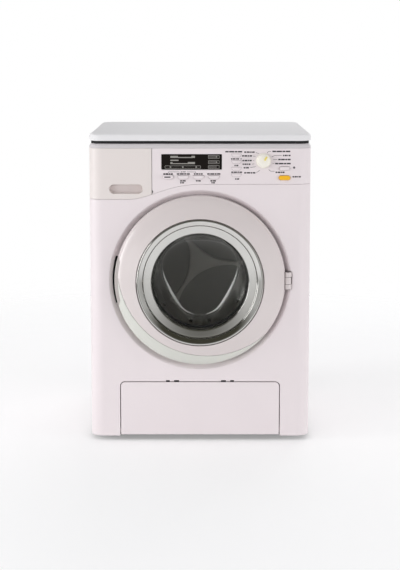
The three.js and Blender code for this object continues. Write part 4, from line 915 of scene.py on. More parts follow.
def front_dish():
    """The dish round the door, from its soft lip down to the collar at the drum's mouth."""
    slope = [(MOAT_RADIUS - inwards * MM, FRONT_Y + depth * MM)
             for inwards, depth in blended(MOAT_SLOPE, BLEND_STEPS)]
    return revolve("dish", [
        (MOAT_RADIUS + WALL, FRONT_Y),
        (MOAT_RADIUS + DISH_LIP, FRONT_Y),
        (MOAT_RADIUS + DISH_LIP * DISH_LIP_SHARE, FRONT_Y + DISH_LIP * DISH_LIP_SHARE),
        *slope,
        (COLLAR_RADIUS + DISH_LIP, FRONT_Y + MOAT_DEPTH),
        (COLLAR_RADIUS, FRONT_Y + MOAT_DEPTH + DISH_LIP),
        (COLLAR_RADIUS, FRONT_Y + COLLAR_DEPTH),
        (COLLAR_RADIUS + WALL, FRONT_Y + COLLAR_DEPTH),
        (COLLAR_RADIUS + WALL, FRONT_Y + MOAT_DEPTH + WALL),
        (MOAT_RADIUS, FRONT_Y + MOAT_DEPTH + WALL),
        (MOAT_RADIUS + WALL, FRONT_Y + WALL),
    ])


def finger_outline(inner, outer, spread=0.0):
    """The arc beside the ring's left edge where fingers reach behind the door, between two radii."""
    turn = FINGER_TURN * (1 + spread)
    turns = [-math.pi / 2 + turn * (k / FINGER_STEPS - 1) for k in range(2 * FINGER_STEPS + 1)]
    points = [polar(inner, t) for t in turns] + [polar(outer, t) for t in turns[::-1]]
    return fixed([(u, DOOR_Z + v) for u, v in points])


def finger_tool(name, grow, start):
    """The finger slot as a solid, or its pocket where it is grown."""
    outline = finger_outline(
        RING_RADIUS - WALL - grow, RING_RADIUS + FINGER_SLOT + grow, grow / FINGER_SPREAD)
    return prism(name, outline, straight(start, FRONT_Y + MOAT_DEPTH + FINGER_DEPTH + grow))


def door_fittings():
    """The holes for the door's latch peg and for its hinge."""
    reach = KNUCKLE_HEIGHT / 2 + 2 * FIT_GAP + KNUCKLE_LUG
    back = FRONT_Y + BRACKET_BACK + FIT_GAP
    peg = block(
        "peg", PEG_X - PEG - PEG_PLAY, PEG_X + PEG + FIT_GAP, FRONT_Y + MOAT_DEPTH - WALL / 2,
        FRONT_Y + MOAT_DEPTH + 2 * WALL, DOOR_Z - PEG - FIT_GAP, DOOR_Z + PEG + FIT_GAP)
    slot = block(
        "hinge slot", HINGE.x + KNUCKLE_RADIUS + FIT_GAP,
        MOAT_RADIUS + WALL + BRACKET_THICKNESS / 2 + FIT_GAP,
        FRONT_Y + WALL, back, DOOR_Z - reach, DOOR_Z + reach)
    room = block(
        "knuckle room", HINGE.x - KNUCKLE_RADIUS, HINGE.x + KNUCKLE_RADIUS + 2 * FIT_GAP,
        FRONT_Y - WALL, back, DOOR_Z - reach, DOOR_Z + reach)
    return peg, slot, room


def slot_blocks(name, play, start, end, low):
    """The short slots above the plinth's flap, drawn in by a play."""
    high = FLAP_HOLE_TOP + SLOT_HEIGHT - play
    return [
        block(name, x - width / 2 + play, x + width / 2 - play, FRONT_Y + start, FRONT_Y + end, low, high)
        for offset, width in SLOTS for x in (-offset, offset)]


def front_panel():
    """The front of the casing with the door's dish, its finger pocket and the plinth's recess."""
    panel = keep(casing_shell(), front_tool("zone", SEAM_Y))
    header = header_tool("header", HEADER_SEAM, FRONT_Y - WALL, SEAM_Y + WALL)
    behind_drawer = block(
        "behind drawer", -BEYOND_X, DRAWER_EDGE_X, FRONT_Y + DRAWER_WRAP + FIT_GAP, SEAM_Y + 2 * WALL,
        CASING_LOW, LID_TOP + WALL)
    cut(panel, cut(header, behind_drawer), above_rail("rail zone", RAIL_GAP))
    cut(panel, rod("hole", MOAT_RADIUS + WALL / 2, FRONT_Y - WALL, FRONT_Y + 2 * WALL))
    pocket = finger_tool("pocket", WALL / 2, FRONT_Y + MOAT_DEPTH + WALL / 2)
    recess = block(
        "recess", -FLAP_HOLE_HALF - RECESS_WALL, FLAP_HOLE_HALF + RECESS_WALL, FRONT_Y + WALL / 2,
        FRONT_Y + RECESS_DEPTH + RECESS_WALL, FLOOR_TOP + FIT_GAP, FLAP_HOLE_TOP + RECESS_WALL)
    join(panel, front_dish(), pocket, recess)
    flap_hole = flap_outline(FLAP_HOLE_HALF, FLAP_HOLE_TOP, FLAP_CORNER + FLAP_REVEAL, CASING_LOW - WALL)
    cut(
        panel,
        finger_tool("finger", 0, FRONT_Y + FINGER_START),
        *door_fittings(),
        prism("flap hole", fixed(flap_hole), straight(FRONT_Y - WALL, FRONT_Y + RECESS_DEPTH)),
        stub_hole(),
        *slot_blocks("slot", 0, -WALL, SLOT_DEPTH, FLAP_HOLE_TOP - FLAP_REVEAL),
    )
    return dressed(panel, "casing", body_white(), ["front_shell"], sizes().soft_edge)


def slot_shade_pieces():
    """Black fills painted as shade in the slots above the plinth's flap."""
    shade_blocks = slot_blocks(
        "shade_fill", SLOT_SHADE_PLAY, SLOT_SHADE_FRONT, SLOT_DEPTH - SLOT_SHADE_BACK, FLAP_TOP + SLOT_SHADE_FOOT)
    shaded_slots = gathered("plinth_slot_dark_shade", shade_blocks)
    return dressed(shaded_slots, "casing", black_rubber(), soften=0)


def finger_shade():
    """A black fill painted as shade in the slot beside the ring, where fingers reach behind the door."""
    outline = finger_outline(RING_RADIUS - WALL + FIT_GAP, RING_RADIUS + FINGER_SLOT - FINGER_SHADE_PLAY)
    shade_fill = prism("finger_slot_dark_shade", outline,
                  straight(RING_RIM_Y + FINGER_SHADE_START, FRONT_Y + MOAT_DEPTH + FINGER_DEPTH))
    return dressed(shade_fill, "casing", black_rubber(), soften=0)


def stub_hole():
    """The bore that the flap's two hinge stubs turn in."""
    reach = FLAP_HOLE_HALF + 2 * RECESS_WALL
    hole = rod("stub hole", FLAP_STUB + FIT_GAP, -reach, reach, (0, 0), STUB_SIDES)
    turn = Matrix.Rotation(math.pi / 2, 4, "Z")
    place = Matrix.Translation((0, FRONT_Y + FLAP_AXIS_DEPTH, CASING_LOW + FLAP_AXIS_HEIGHT))
    hole.data.transform(place @ turn)
    return hole


VENT_WIDTH = 46 * MM
VENT_HEIGHT = 2.4 * MM
VENT_PITCH = 6 * MM
VENT_COUNT = 6
VENT_TOP = LID_TOP - 46 * MM
SCREW_WELL = 4.2 * MM
SCREW_SEAT = WALL * 0.7
SCREW_ROOM = WALL * 0.6
SCREW_HEAD = SCREW_WELL * 0.72
SCREW_HEAD_DEPTH = SCREW_ROOM * 0.9
SCREW_SUNK = 0.1 * MM
SCREW_EDGE = 0.06 * MM
SCREW_CROWN = 0.05 * MM
SCREW_SHOULDER = 0.03 * MM
SCREW_PLACES = ((-78 * MM, 232 * MM), (78 * MM, 232 * MM), (-78 * MM, 24 * MM), (78 * MM, 24 * MM))
DRAIN_WELL_RADIUS = 12 * MM
DRAIN_WELL_DEPTH = 12 * MM
DRAIN_THROAT = 4.5 * MM
GROOVE_LINE = 1.2 * MM
GROOVE_WIDTH = 150 * MM
GROOVE_HEIGHT = 130 * MM
GROOVE_CORNER = 8 * MM
GROOVE_Z = 150 * MM


def top_rail():
    """The rounded rail along the casing's upper front edge, over the drawer and the panel, its white painted
    greyer as the shade under the lid.
    """
    rail = keep(casing_shell(), front_tool("zone", SEAM_Y), above_rail("rail zone"))
    return dressed(rail, "casing", rail_painted_shade(), soften=RAIL_EDGE)


def rear_groove():
    """The frame-shaped groove round the middle of the casing's back."""
    outline = inset_rect(GROOVE_WIDTH, GROOVE_HEIGHT, GROOVE_CORNER, (0, GROOVE_Z))
    groove = prism("groove", outline, straight(REAR_Y - GROOVE_LINE / 2, REAR_Y + WALL))
    return cut(groove, prism("groove core", outline, [
        (REAR_Y - WALL, GROOVE_LINE), (REAR_Y + 2 * WALL, GROOVE_LINE)]))


def back_housing():
    """The sides and back of the casing, with vents, screw wells and the drain's well."""
    housing = cut(casing_shell(), block(
        "front", -BEYOND_X, BEYOND_X, FRONT_Y - WALL, SEAM_Y + FIT_GAP, CASING_LOW - WALL, LID_TOP + WALL))
    cover_low, cover_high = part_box("battery_cover")
    nozzle = centre_of("drain_nozzle")
    floor_y = REAR_Y - DRAIN_WELL_DEPTH
    join(housing, rod(
        "well wall", DRAIN_WELL_RADIUS + WALL, floor_y - WALL, REAR_Y - WALL / 2, nozzle, WELL_SIDES))
    wells = [rod("screw well", SCREW_WELL, REAR_Y - SCREW_SEAT, REAR_Y + WALL, place, BORE_SIDES)
             for place in SCREW_PLACES]
    vents = [
        prism("vent", pill(VENT_WIDTH, VENT_HEIGHT, (0, VENT_TOP - i * VENT_PITCH - VENT_HEIGHT / 2)),
              straight(REAR_Y - 2 * WALL, REAR_Y + WALL))
        for i in range(VENT_COUNT)]
    cut(
        housing,
        rod("well", DRAIN_WELL_RADIUS, floor_y, REAR_Y + WALL, nozzle, WELL_SIDES),
        rod("throat", DRAIN_THROAT, floor_y - 2 * WALL, REAR_Y, nozzle, BORE_SIDES),
        block("cover hole", cover_low.x - FIT_GAP, cover_high.x + FIT_GAP, REAR_Y - 2 * WALL, REAR_Y + WALL,
              cover_low.z - FIT_GAP, cover_high.z + FIT_GAP),
        rear_groove(), *vents, *wells,
    )
    return dressed(housing, "casing", body_white(), ["rear_shell"], sizes().soft_edge)


def cross_screw(name, radius, face_y, depth, centre):
    """A domed screw head with a cross slot."""
    dome = [
        (0, face_y + SCREW_CROWN), (radius * 0.5, face_y + SCREW_SHOULDER), (radius * 0.9, face_y),
        (radius, face_y - 0.35 * depth), (radius, face_y - depth), (0, face_y - depth),
    ]
    head = revolve(name, dome, BORE_SIDES, centre, False)
    x, z = centre
    arm, half = radius * 0.62, radius * 0.13
    cut(head,
        block("slot", x - arm, x + arm, face_y - depth * 0.5, face_y + WALL, z - half, z + half),
        block("slot", x - half, x + half, face_y - depth * 0.5, face_y + WALL, z - arm, z + arm))
    return head


def rear_screws():
    """The four screws in the wells of the casing's back."""
    face = REAR_Y - SCREW_SEAT + SCREW_ROOM
    for i, place in enumerate(SCREW_PLACES):
        head = cross_screw(f"rear_screw_{i + 1}", SCREW_HEAD, face - SCREW_SUNK, SCREW_HEAD_DEPTH, place)
        dressed(head, "casing", plain_steel(), soften=SCREW_EDGE)


def lid():
    """The worktop, with a rounded edge and a pocket underneath."""
    levels = rounded_levels(LID_LOW, LID_TOP, LID_UNDER_EDGE, LID_EDGE)
    top = prism("worktop_lid", casing_plan(0), levels, "Z")
    cut(top, prism("pocket", deck_hole(), straight(LID_LOW - WALL, LID_TOP - LID_SKIN), "Z"))
    return dressed(top, "casing", lid_white(), ["worktop"], 0)


def lid_seal():
    """The black line between the lid and the casing."""
    levels = straight(CASING_TOP - SEAL_INSET / 2, LID_LOW + SEAL_PLAY)
    seal = prism("lid_seal", casing_plan(SEAL_INSET), levels, "Z")
    cut(seal, prism("core", casing_plan(3 * SEAL_INSET), straight(CASING_TOP - WALL, LID_TOP), "Z"))
    return dressed(seal, "casing", black_rubber(), soften=0)


# Controls

OPTIONS = (1, 2, 3, 4)
OPTION_WIDTH = 9.4 * MM
OPTION_HEIGHT = 3.4 * MM
BOAT_TRIM = 0.6 * MM
START_WIDTH = 9.4 * MM
START_HEIGHT = 3.6 * MM
QUICK_WIDTH = 8.8 * MM
QUICK_HEIGHT = 3 * MM
BUTTON_GAP = 0.22 * MM
PILL_PROUD = 1.4 * MM
CAP_EDGE = 0.45 * MM
CAP_LAP = 0.3 * MM
CAP_FLANGE = 1 * MM
OPTION_BAR_WIDTH = 5.3 * MM
OPTION_BAR_HEIGHT = 1 * MM
OPTION_BAR_SHIFT = 0.5 * MM
OPTION_BAR_PROUD = 0.05 * MM
OPTION_BAR_SUNK = 0.1 * MM
FASCIA_EDGE = 0.15 * MM
RELIEF_WIDTH = 8.2 * MM
RELIEF_HEIGHT = 2.4 * MM
RELIEF_PROUD = 0.8 * MM
RELIEF_X = 30.2 * MM
RELIEF_TOP = 242.3 * MM
RELIEF_PITCH = 5.5 * MM
RELIEF_COUNT = 4
RELIEF_EDGE = 0.35 * MM
RELIEF_LINE = 0.5 * MM
RELIEF_LINE_PROUD = 0.04 * MM
RELIEF_LINE_SUNK = 0.1 * MM
LAMP_RADIUS = 0.9 * MM
LAMP = (78 * MM, 232.2 * MM)
# The lamp's dome, as shares of its radius and millimetres behind the front
LENS_DOME = ((0, -0.3), (0.6, -0.2), (0.93, 0.05))
KNOB_SHAFT = 2 * MM


def centre_of(node):
    low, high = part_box(node)
    return (low.x + high.x) / 2, (low.z + high.z) / 2


def option_outline(index, grow=0.0):
    """The first option is a pill, and the others are boats."""
    x, z = centre_of(f"option_button_{index}")
    if index == 1:
        return pill(OPTION_WIDTH - BOAT_TRIM + 2 * grow, OPTION_HEIGHT + 2 * grow, (x, z))
    return boat(OPTION_WIDTH + 2 * grow, OPTION_HEIGHT - BOAT_TRIM + 2 * grow, (x, z - BOAT_TRIM / 2))


DISPLAY_WIDTH = 49.7 * MM
DISPLAY_HEIGHT = 12.4 * MM
DISPLAY_CORNER = 0.6 * MM
DISPLAY_HOLE_CORNER = 0.8 * MM
DISPLAY_EDGE = 0.25 * MM


def control_fascia():
    """The control panel, with holes for its buttons, dial, lamp and display."""
    fascia = keep(casing_shell(), front_tool("zone", SEAM_Y),
                  header_tool("header", 0, FRONT_Y - WALL, SEAM_Y + WALL))
    seam_x = DRAWER_EDGE_X + DRAWER_SEAM / 2
    y0, y1 = FRONT_Y - WALL, FRONT_Y + 2 * WALL
    room = 2 * BUTTON_GAP
    openings = [option_outline(i, BUTTON_GAP) for i in OPTIONS]
    openings.append(pill(START_WIDTH + room, START_HEIGHT + room, centre_of("start_button")))
    openings.append(pill(QUICK_WIDTH + room, QUICK_HEIGHT + room, centre_of("quick_button")))
    holes = [prism("hole", outline, straight(y0, y1)) for outline in openings]
    holes.append(rod("shaft hole", KNOB_SHAFT + FIT_GAP, y0, y1, (KNOB_X, KNOB_Z), BORE_SIDES))
    holes.append(rod("lamp hole", LAMP_RADIUS, y0, y1, LAMP, BORE_SIDES))
    display = inset_rect(
        DISPLAY_WIDTH + 2 * FIT_GAP, DISPLAY_HEIGHT + 2 * FIT_GAP, DISPLAY_HOLE_CORNER,
        centre_of("display_window"))
    holes.append(prism("display hole", display, straight(y0, y1)))
    cut(fascia, block("left", -BEYOND_X, seam_x, y0, SEAM_Y + WALL, CASING_LOW, LID_TOP),
        rod("notch", NOTCH_RADIUS, y0, y1, (seam_x, (HEADER_LOW + HEADER_HIGH) / 2), BORE_SIDES))
    cut(fascia, above_rail("rail zone", RAIL_GAP), *holes)
    return dressed(fascia, "casing", body_white(), ["control_fascia"], FASCIA_EDGE)


def keels(name, grow, levels):
    """The four keels left of the dial in one mesh, each grown by a little."""
    middles = [(RELIEF_X, RELIEF_TOP - i * RELIEF_PITCH) for i in range(RELIEF_COUNT)]
    return gathered(name, [
        prism("keel", boat(RELIEF_WIDTH + grow, RELIEF_HEIGHT + grow, middle), levels) for middle in middles])


def panel_reliefs():
    """The four raised keels in the column left of the dial, and a fine grey line round each, painted as the
    shade along its edge.
    """
    raised = rounded_levels(FRONT_Y - RELIEF_PROUD, FRONT_Y + WALL / 2, RELIEF_EDGE, 0)
    dressed(keels("panel_reliefs", 0, raised), "casing", body_white(), soften=0)
    thin = straight(FRONT_Y - RELIEF_LINE_PROUD, FRONT_Y + RELIEF_LINE_SUNK)
    lines = keels("panel_relief_shade_outlines", RELIEF_LINE, thin)
    return dressed(lines, "casing", relief_shade_grey(), soften=0)


def drawer_face():
    """The soap drawer's front with its grip recess, and a plate in the recess's floor painted greyer as the
    recess's shade.
    """
    wrap = FRONT_Y + DRAWER_WRAP
    face = keep(
        casing_shell(), front_tool("zone", wrap),
        header_tool("header", 0, FRONT_Y - WALL, wrap + WALL),
        front_tool("left", wrap + WALL, DRAWER_EDGE_X - DRAWER_SEAM / 2))
    floor_y = FRONT_Y + GRIP_DEPTH
    middle = (GRIP_X, GRIP_Z)
    pocket = pill(GRIP_WIDTH + 2 * RIB, GRIP_HEIGHT + 2 * RIB, middle)
    cut(face, above_rail("rail zone", RAIL_GAP))
    join(face, prism("pocket", pocket, straight(FRONT_Y + WALL / 2, floor_y + RIB)))
    cut(face, prism("grip", pill(GRIP_WIDTH, GRIP_HEIGHT, middle), [
        (FRONT_Y - WALL, 0), (floor_y - GRIP_EDGE, 0), (floor_y - GRIP_EDGE_START, GRIP_EDGE_START),
        (floor_y, GRIP_EDGE)]))
    dressed(face, "drawer", drawer_white(), ["drawer_front"], sizes().soft_edge)
    floor = prism(
        "drawer_grip_shaded_floor",
        pill(GRIP_WIDTH - 2 * GRIP_FLOOR_INSET, GRIP_HEIGHT - 2 * GRIP_FLOOR_INSET, middle),
        rounded_levels(floor_y - GRIP_FLOOR_PROUD, floor_y + GRIP_FLOOR_SUNK, GRIP_FLOOR_EDGE, 0))
    return dressed(floor, "drawer", grip_floor_painted_shade(), soften=0)


def display_window():
    """The glossy black display, with a flange behind the panel."""
    centre = centre_of("display_window")
    low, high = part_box("display_window")
    face = prism("display_glass", inset_rect(DISPLAY_WIDTH, DISPLAY_HEIGHT, DISPLAY_CORNER, centre),
                 rounded_levels(low.y, high.y, DISPLAY_EDGE, 0))
    flange = inset_rect(high.x - low.x, high.z - low.z, DISPLAY_CORNER, centre)
    join(face, prism("flange", flange, straight(FRONT_Y + WALL + FIT_GAP, high.y)))
    return dressed(face, "casing", display_black(), ["display_window"], 0)


PRINT_SUNK = 0.03 * MM
PRINT_LINE = 0.28 * MM


def bars(name, rows, rise, face=FRONT_Y):
    """Flat printed bars from (x0, x1, z, height) in millimetres, joined in one mesh."""
    pieces = []
    for x0, x1, z, height in rows:
        pieces.append(block(name, x0 * MM, x1 * MM, face - rise, face + PRINT_SUNK,
                            (z - height / 2) * MM, (z + height / 2) * MM))
    return gathered(name, pieces)


# Photograph's scale and origin, for the places of the printed marks
PIXELS_PER_MM = 1.185
PIXEL_LEFT = 200
PIXEL_TOP = 135
TOP_MM = 260


def photo_place(x, y):
    """Millimetres across and up on the front, for a pixel of the photograph."""
    return (x - PIXEL_LEFT) / PIXELS_PER_MM, TOP_MM - (y - PIXEL_TOP) / PIXELS_PER_MM


def mark(x0, x1, y, tall):
    """A printed bar between two pixel columns of the photograph, at a pixel row."""
    left, z = photo_place(x0, y)
    return left, photo_place(x1, y)[0], z, tall


WORD_SHARES = (0.22, 0.34, 0.16, 0.28)
WORD_GAP = 0.45
WORD_TALL = 1.15
LONG_CAPTION = 6
SHORT_PARTS = 2


def label(x0, x1, y, tall=WORD_TALL):
    """A caption drawn as a broken bar, with no letters in it."""
    left, right, z, _ = mark(x0, x1, y, tall)
    parts = len(WORD_SHARES) if right - left > LONG_CAPTION else SHORT_PARTS
    shares = WORD_SHARES[:parts]
    room = right - left - WORD_GAP * (parts - 1)
    rows = []
    x = left
    for share in shares:
        width = room * share / sum(shares)
        rows.append((x, x + width, z, tall))
        x += width + WORD_GAP
    return rows


def slanted(name, points, rise):
    """A thin printed line through points given in pixels of the photograph."""
    bm = bmesh.new()
    places = [Vector(photo_place(x, y)) * MM for x, y in points]
    for a, b in zip(places, places[1:]):
        side = (b - a).normalized().orthogonal() * PRINT_LINE / 2
        corners = [a + side, b + side, b - side, a - side]
        front = [bm.verts.new((p.x, FRONT_Y - rise, p.y)) for p in corners]
        back = [bm.verts.new((p.x, FRONT_Y + PRINT_SUNK, p.y)) for p in corners]
        bridge(bm, [front, back])
        bm.faces.new(front)
        bm.faces.new(back[::-1])
    return mesh_object(name, bm)


# Captions above and below the option buttons, then those of the reliefs and of the dial
OPTION_LABELS = (
    (164, 173.4, 174.2), (177.2, 190, 174.2), (194, 202.6, 174.2), (207, 220, 174.2),
    (180.6, 185.9, 181), (180.6, 184.3, 182.9), (196.1, 200.7, 181), (210.3, 215.6, 181),
    (211.3, 214.6, 182.9),
)
RELIEF_LABELS = (
    (224.8, 241.3, 152.3), (230.5, 238.2, 159.4), (233.8, 237.6, 165.9), (230.7, 241.3, 172.5),
    (234.5, 238.5, 179.2),
)
DIAL_LABELS = (
    (243.4, 253.6, 152.7), (241.3, 251, 156.4), (241.6, 250.8, 161), (241.8, 249.5, 164.6),
    (242.9, 248, 168.1), (243.4, 254.4, 173.1), (271, 288.5, 152),
    (281.4, 288.8, 156), (276.8, 288.9, 160), (273.8, 289, 164),
    (274.2, 283, 172.6), (291, 299, 177),
)
DIAL_LINES = (
    ((254.6, 153.2), (257.8, 154)), ((252.2, 156.6), (254.4, 157)), ((252, 161), (253.4, 160.6)),
    ((251, 164.6), (253.4, 164.2)), ((249.2, 168), (254.6, 167)), ((255.4, 172.9), (258.8, 170.6)),
    ((266, 153.6), (267, 152.2), (269.8, 152)), ((270.4, 157.4), (273, 156), (280.2, 156)),
    ((271.6, 160), (275.8, 160)), ((271.2, 164), (272.8, 164)),
    ((267.5, 169.6), (269, 171.4), (273.2, 171.6)),
)
BRACKET_LEFT = ((169, 173.2), (169, 172.2), (180, 172.2))
BRACKET_RIGHT = ((187, 172.2), (195.8, 172.2), (195.8, 173.2))
BRACKET_CAPTION = (181, 186, 172.2, 0.6)
RELIEF_DOT = (239.8, 240.8, 159.4, 0.8)


def panel_print():
    """Generic bars, ticks and lines printed beside the controls."""
    rise = sizes().print_rise
    rows = []
    for group in (OPTION_LABELS, RELIEF_LABELS, DIAL_LABELS):
        for x0, x1, y in group:
            rows += label(x0, x1, y)
    rows += label(*BRACKET_CAPTION)
    rows.append(mark(*RELIEF_DOT))
    pieces = [bars("bars", rows, rise)]
    for points in (*DIAL_LINES, BRACKET_LEFT, BRACKET_RIGHT):
        pieces.append(slanted("line", points, rise))
    printed = gathered("panel_print", pieces)
    return dressed(printed, "casing", panel_ink(), soften=0)


DISPLAY_BARS = (
    (170.9, 178.4, 157.4, 1.7), (178.4, 191.6, 158, 0.8), (191.6, 195, 157.4, 1.7), (170.9, 178.9, 160.8, 1),
    (170.9, 173, 163.5, 1.7), (173, 188, 164.1, 0.8), (188, 195, 163.5, 1.7), (165.8, 200.6, 166.2, 0.28),
    (165.8, 200.6, 168.7, 0.28), (165.5, 165.9, 167.45, 1.8), (200.4, 200.8, 167.45, 1.8),
    (170.3, 171.7, 167.4, 1.1), (182.4, 183.8, 167.4, 1.1), (195.6, 197, 167.4, 1.1),
)
DISPLAY_BOXES = ((208, 219, 157.4), (208, 219, 162.6), (208, 219, 167.4))
DISPLAY_TICKS = ((215.6, 217, 157.4, 1), (215.6, 217, 162.6, 1))
# In pixels: the boxes' height, the width of their upright lines and the margins of the field in each
BOX_TALL = 3
BOX_SIDE = 0.35
FIELD_LEFT = 0.5
FIELD_RIGHT = 2.6
# In millimetres: the thickness of the boxes' level lines and the height of a field
BOX_LINE = 0.3
FIELD_TALL = 1.9
# A field's rise as a share of the print's
FIELD_RISE = 0.5


def display_marks():
    """Bars, a slider and three outlined boxes on the display."""
    face = box_low("display_window").y
    rows = [mark(*row) for row in DISPLAY_BARS]
    for x0, x1, y in DISPLAY_BOXES:
        tall = BOX_TALL / PIXELS_PER_MM
        for edge in (y - BOX_TALL / 2, y + BOX_TALL / 2):
            rows.append(mark(x0, x1, edge, BOX_LINE))
        for edge in (x0, x1 - BOX_SIDE):
            rows.append(mark(edge, edge + BOX_SIDE, y, tall))
    rows += [mark(*row) for row in DISPLAY_TICKS]
    marks = bars("display_marks", rows, sizes().print_rise, face=face)
    dressed(marks, "casing", display_ink(), soften=0)
    rows = [mark(x0 + FIELD_LEFT, x1 - FIELD_RIGHT, y, FIELD_TALL) for x0, x1, y in DISPLAY_BOXES]
    fields = bars("display_fields", rows, sizes().print_rise * FIELD_RISE, face=face)
    return dressed(fields, "casing", display_dim(), soften=0)


def button(name, outline, height, body, material):
    """A push button: cap, retaining flange and stem, centred on its hole."""
    low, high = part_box(name)
    centre = centre_of(name)
    flange_y = FRONT_Y + WALL + FIT_GAP
    levels = rounded_levels(FRONT_Y - PILL_PROUD, flange_y + CAP_LAP, CAP_EDGE, 0)
    cap = prism(f"{name}_cap", outline, levels)
    flange = pill(high.x - low.x, high.z - low.z, centre)
    join(cap, prism("flange", flange, straight(flange_y, flange_y + CAP_FLANGE)),
         rod("stem", height / 3, flange_y, high.y, centre, STUB_SIDES))
    return dressed(cap, body, material, [name], 0)


def buttons():
    """The push buttons, the dark bar on the first of them, and the lamp."""
    for i in OPTIONS:
        button(f"option_button_{i}", option_outline(i), OPTION_HEIGHT,
               f"option_{i}", body_white())
    x, z = centre_of("option_button_1")
    face = FRONT_Y - PILL_PROUD
    dark = prism("option_bar", pill(OPTION_BAR_WIDTH, OPTION_BAR_HEIGHT, (x - OPTION_BAR_SHIFT, z)),
                 straight(face - OPTION_BAR_PROUD, face + OPTION_BAR_SUNK))
    dressed(dark, "option_1", panel_ink(), soften=0)
    button("quick_button", pill(QUICK_WIDTH, QUICK_HEIGHT, centre_of("quick_button")), QUICK_HEIGHT,
           "quick", body_white())
    button("start_button", pill(START_WIDTH, START_HEIGHT, centre_of("start_button")), START_HEIGHT,
           "start", start_amber())
    dome = [(LAMP_RADIUS * share, FRONT_Y + depth * MM) for share, depth in LENS_DOME]
    back = FRONT_Y + WALL
    lens = revolve("lamp_lens", [*dome, (dome[-1][0], back), (0, back)], BORE_SIDES, LAMP, False)
    dressed(lens, "casing", lamp_grey(), soften=0)


POINTER_TURN = math.radians(32)
POINTER_LENGTH = 3.8 * MM
POINTER_WIDTH = 1.5 * MM
POINTER_BACK = 0.6 * MM
POINTER_SUNK = 1.4 * MM
POINTER_EDGE = 0.2 * MM
KNOB_TALL = 8 * MM
KNOB_SKIRT = 1.2 * MM
KNOB_NECK = 0.93
KNOB_EDGE = 0.12 * MM
KNOB_SIDES = 192
FLUTES = 24
FLUTE_DEPTH = 0.16 * MM
FLUTED_ROWS = range(4, 8)
# The dial's dome, as shares of its radius and of its height over the skirt
KNOB_SHARES = (
    (1, 0), (1, 0.28), (0.985, 0.5), (0.95, 0.68), (0.88, 0.82), (0.76, 0.92), (0.58, 0.975), (0.3, 1),
)


def programme_knob():
    """The dial: a domed knob with a fine grip, and its yellow pointer."""
    low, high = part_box("programme_knob")
    radius = (high.x - low.x) / 2
    face = FRONT_Y - FIT_GAP
    crest = face - KNOB_TALL
    skirt_y = face - KNOB_SKIRT
    profile = [(KNOB_SHAFT, high.y), (KNOB_SHAFT, face), (radius, face), (radius, skirt_y)]
    profile += [(radius * KNOB_NECK * share, skirt_y - (skirt_y - crest) * rise)
                for share, rise in KNOB_SHARES]
    bm = bmesh.new()
    rows = []
    for k, (r, y) in enumerate(profile):
        row = []
        for i in range(KNOB_SIDES):
            turn = 2 * math.pi * i / KNOB_SIDES
            dip = FLUTE_DEPTH * (0.5 + 0.5 * math.cos(FLUTES * turn)) if k in FLUTED_ROWS else 0
            u, v = polar(r - dip, turn)
            row.append(bm.verts.new((KNOB_X + u, y, KNOB_Z + v)))
        rows.append(row)
    bridge(bm, rows)
    bm.faces.new(rows[0])
    bm.faces.new(rows[-1][::-1])
    knob = mesh_object("programme_dial", bm)
    dressed(knob, "knob", knob_cream(), ["programme_knob"], KNOB_EDGE, ROUNDED_ANGLE)
    middle = (0, radius * 0.25 + POINTER_LENGTH / 2 - POINTER_BACK)
    pointer = prism("dial_pointer", pill(POINTER_WIDTH, POINTER_LENGTH, middle),
                    rounded_levels(low.y, crest + POINTER_SUNK, POINTER_EDGE, 0))
    pointer.data.transform(Matrix.Translation((KNOB_X, 0, KNOB_Z)) @ Matrix.Rotation(POINTER_TURN, 4, "Y"))
    return dressed(pointer, "knob", pointer_yellow(), soften=0)


# Door

RING_CROWN = ((0, 0), (0.015, 0.12), (0.04, 0.2), (0.09, 0.28), (0.14, 0.36), (0.36, 0.58), (0.64, 0.78),
              (0.88, 0.93), (0.94, 0.97), (0.98, 0.99), (1, 0.985))


RING_PARTING = 0.1 * MM
RING_SOFT_EDGE = 0.12 * MM


def ring_point(inwards, rise):
    """Radius and place of a point on the ring's crown, from its shares of the way in and up."""
    radius = RING_RADIUS + (RING_INNER - RING_RADIUS) * inwards
    return radius, FRONT_Y - RING_EDGE - (RING_CREST - RING_EDGE) * rise


def ring_profile():
    """The white ring's section, from its rim over the crown to the chrome and back underneath."""
    crown = [ring_point(*share) for share in blended(RING_CROWN, BLEND_STEPS)]
    under = [(r, y + RING_SKIN) for r, y in crown[::5]
             if RING_INNER + RING_RIM < r < RING_RADIUS - 2 * RING_RIM]
    return [
        (RING_RADIUS, RING_RIM_Y), *crown,
        (RING_INNER, FRONT_Y - RING_CREST + RING_SKIN),
        *under[::-1],
        (RING_RADIUS - RING_RIM, FRONT_Y - RING_EDGE), (RING_RADIUS - RING_RIM, RING_RIM_Y),
    ]


def ring_solid(name):
    return revolve(name, ring_profile())


def crescent_tool(name, grow):
    """The disc whose edge parts the white ring from its crescent."""
    centre = (CRESCENT_SHIFT[0], DOOR_Z + CRESCENT_SHIFT[1])
    return rod(name, CRESCENT_RADIUS + grow, FRONT_Y - DOOR_PROUD - WALL, RING_RIM_Y + WALL, centre)


def door_ring():
    """The white ring, without its crescent and with notches for the hinge."""
    half = KNUCKLE_HEIGHT / 2 + FIT_GAP
    arm = block("arm notch", RING_RADIUS - 2 * RING_RIM, RING_RADIUS + WALL,
                FRONT_Y - RING_EDGE - FIT_GAP, RING_RIM_Y + WALL, DOOR_Z - half, DOOR_Z + half)
    clear = half + KNUCKLE_LUG + 2 * FIT_GAP
    side = block("hinge notch", HINGE.x - KNUCKLE_RADIUS - FIT_GAP, RING_RADIUS + WALL,
                 FRONT_Y - RING_CREST, RING_RIM_Y + WALL, DOOR_Z - clear, DOOR_Z + clear)
    ring = cut(keep(ring_solid("porthole_ring"), crescent_tool("disc", -RING_PARTING)), arm, side)
    return dressed(ring, "door", ring_white(), ["door_ring"], RING_SOFT_EDGE, ROUNDED_ANGLE)


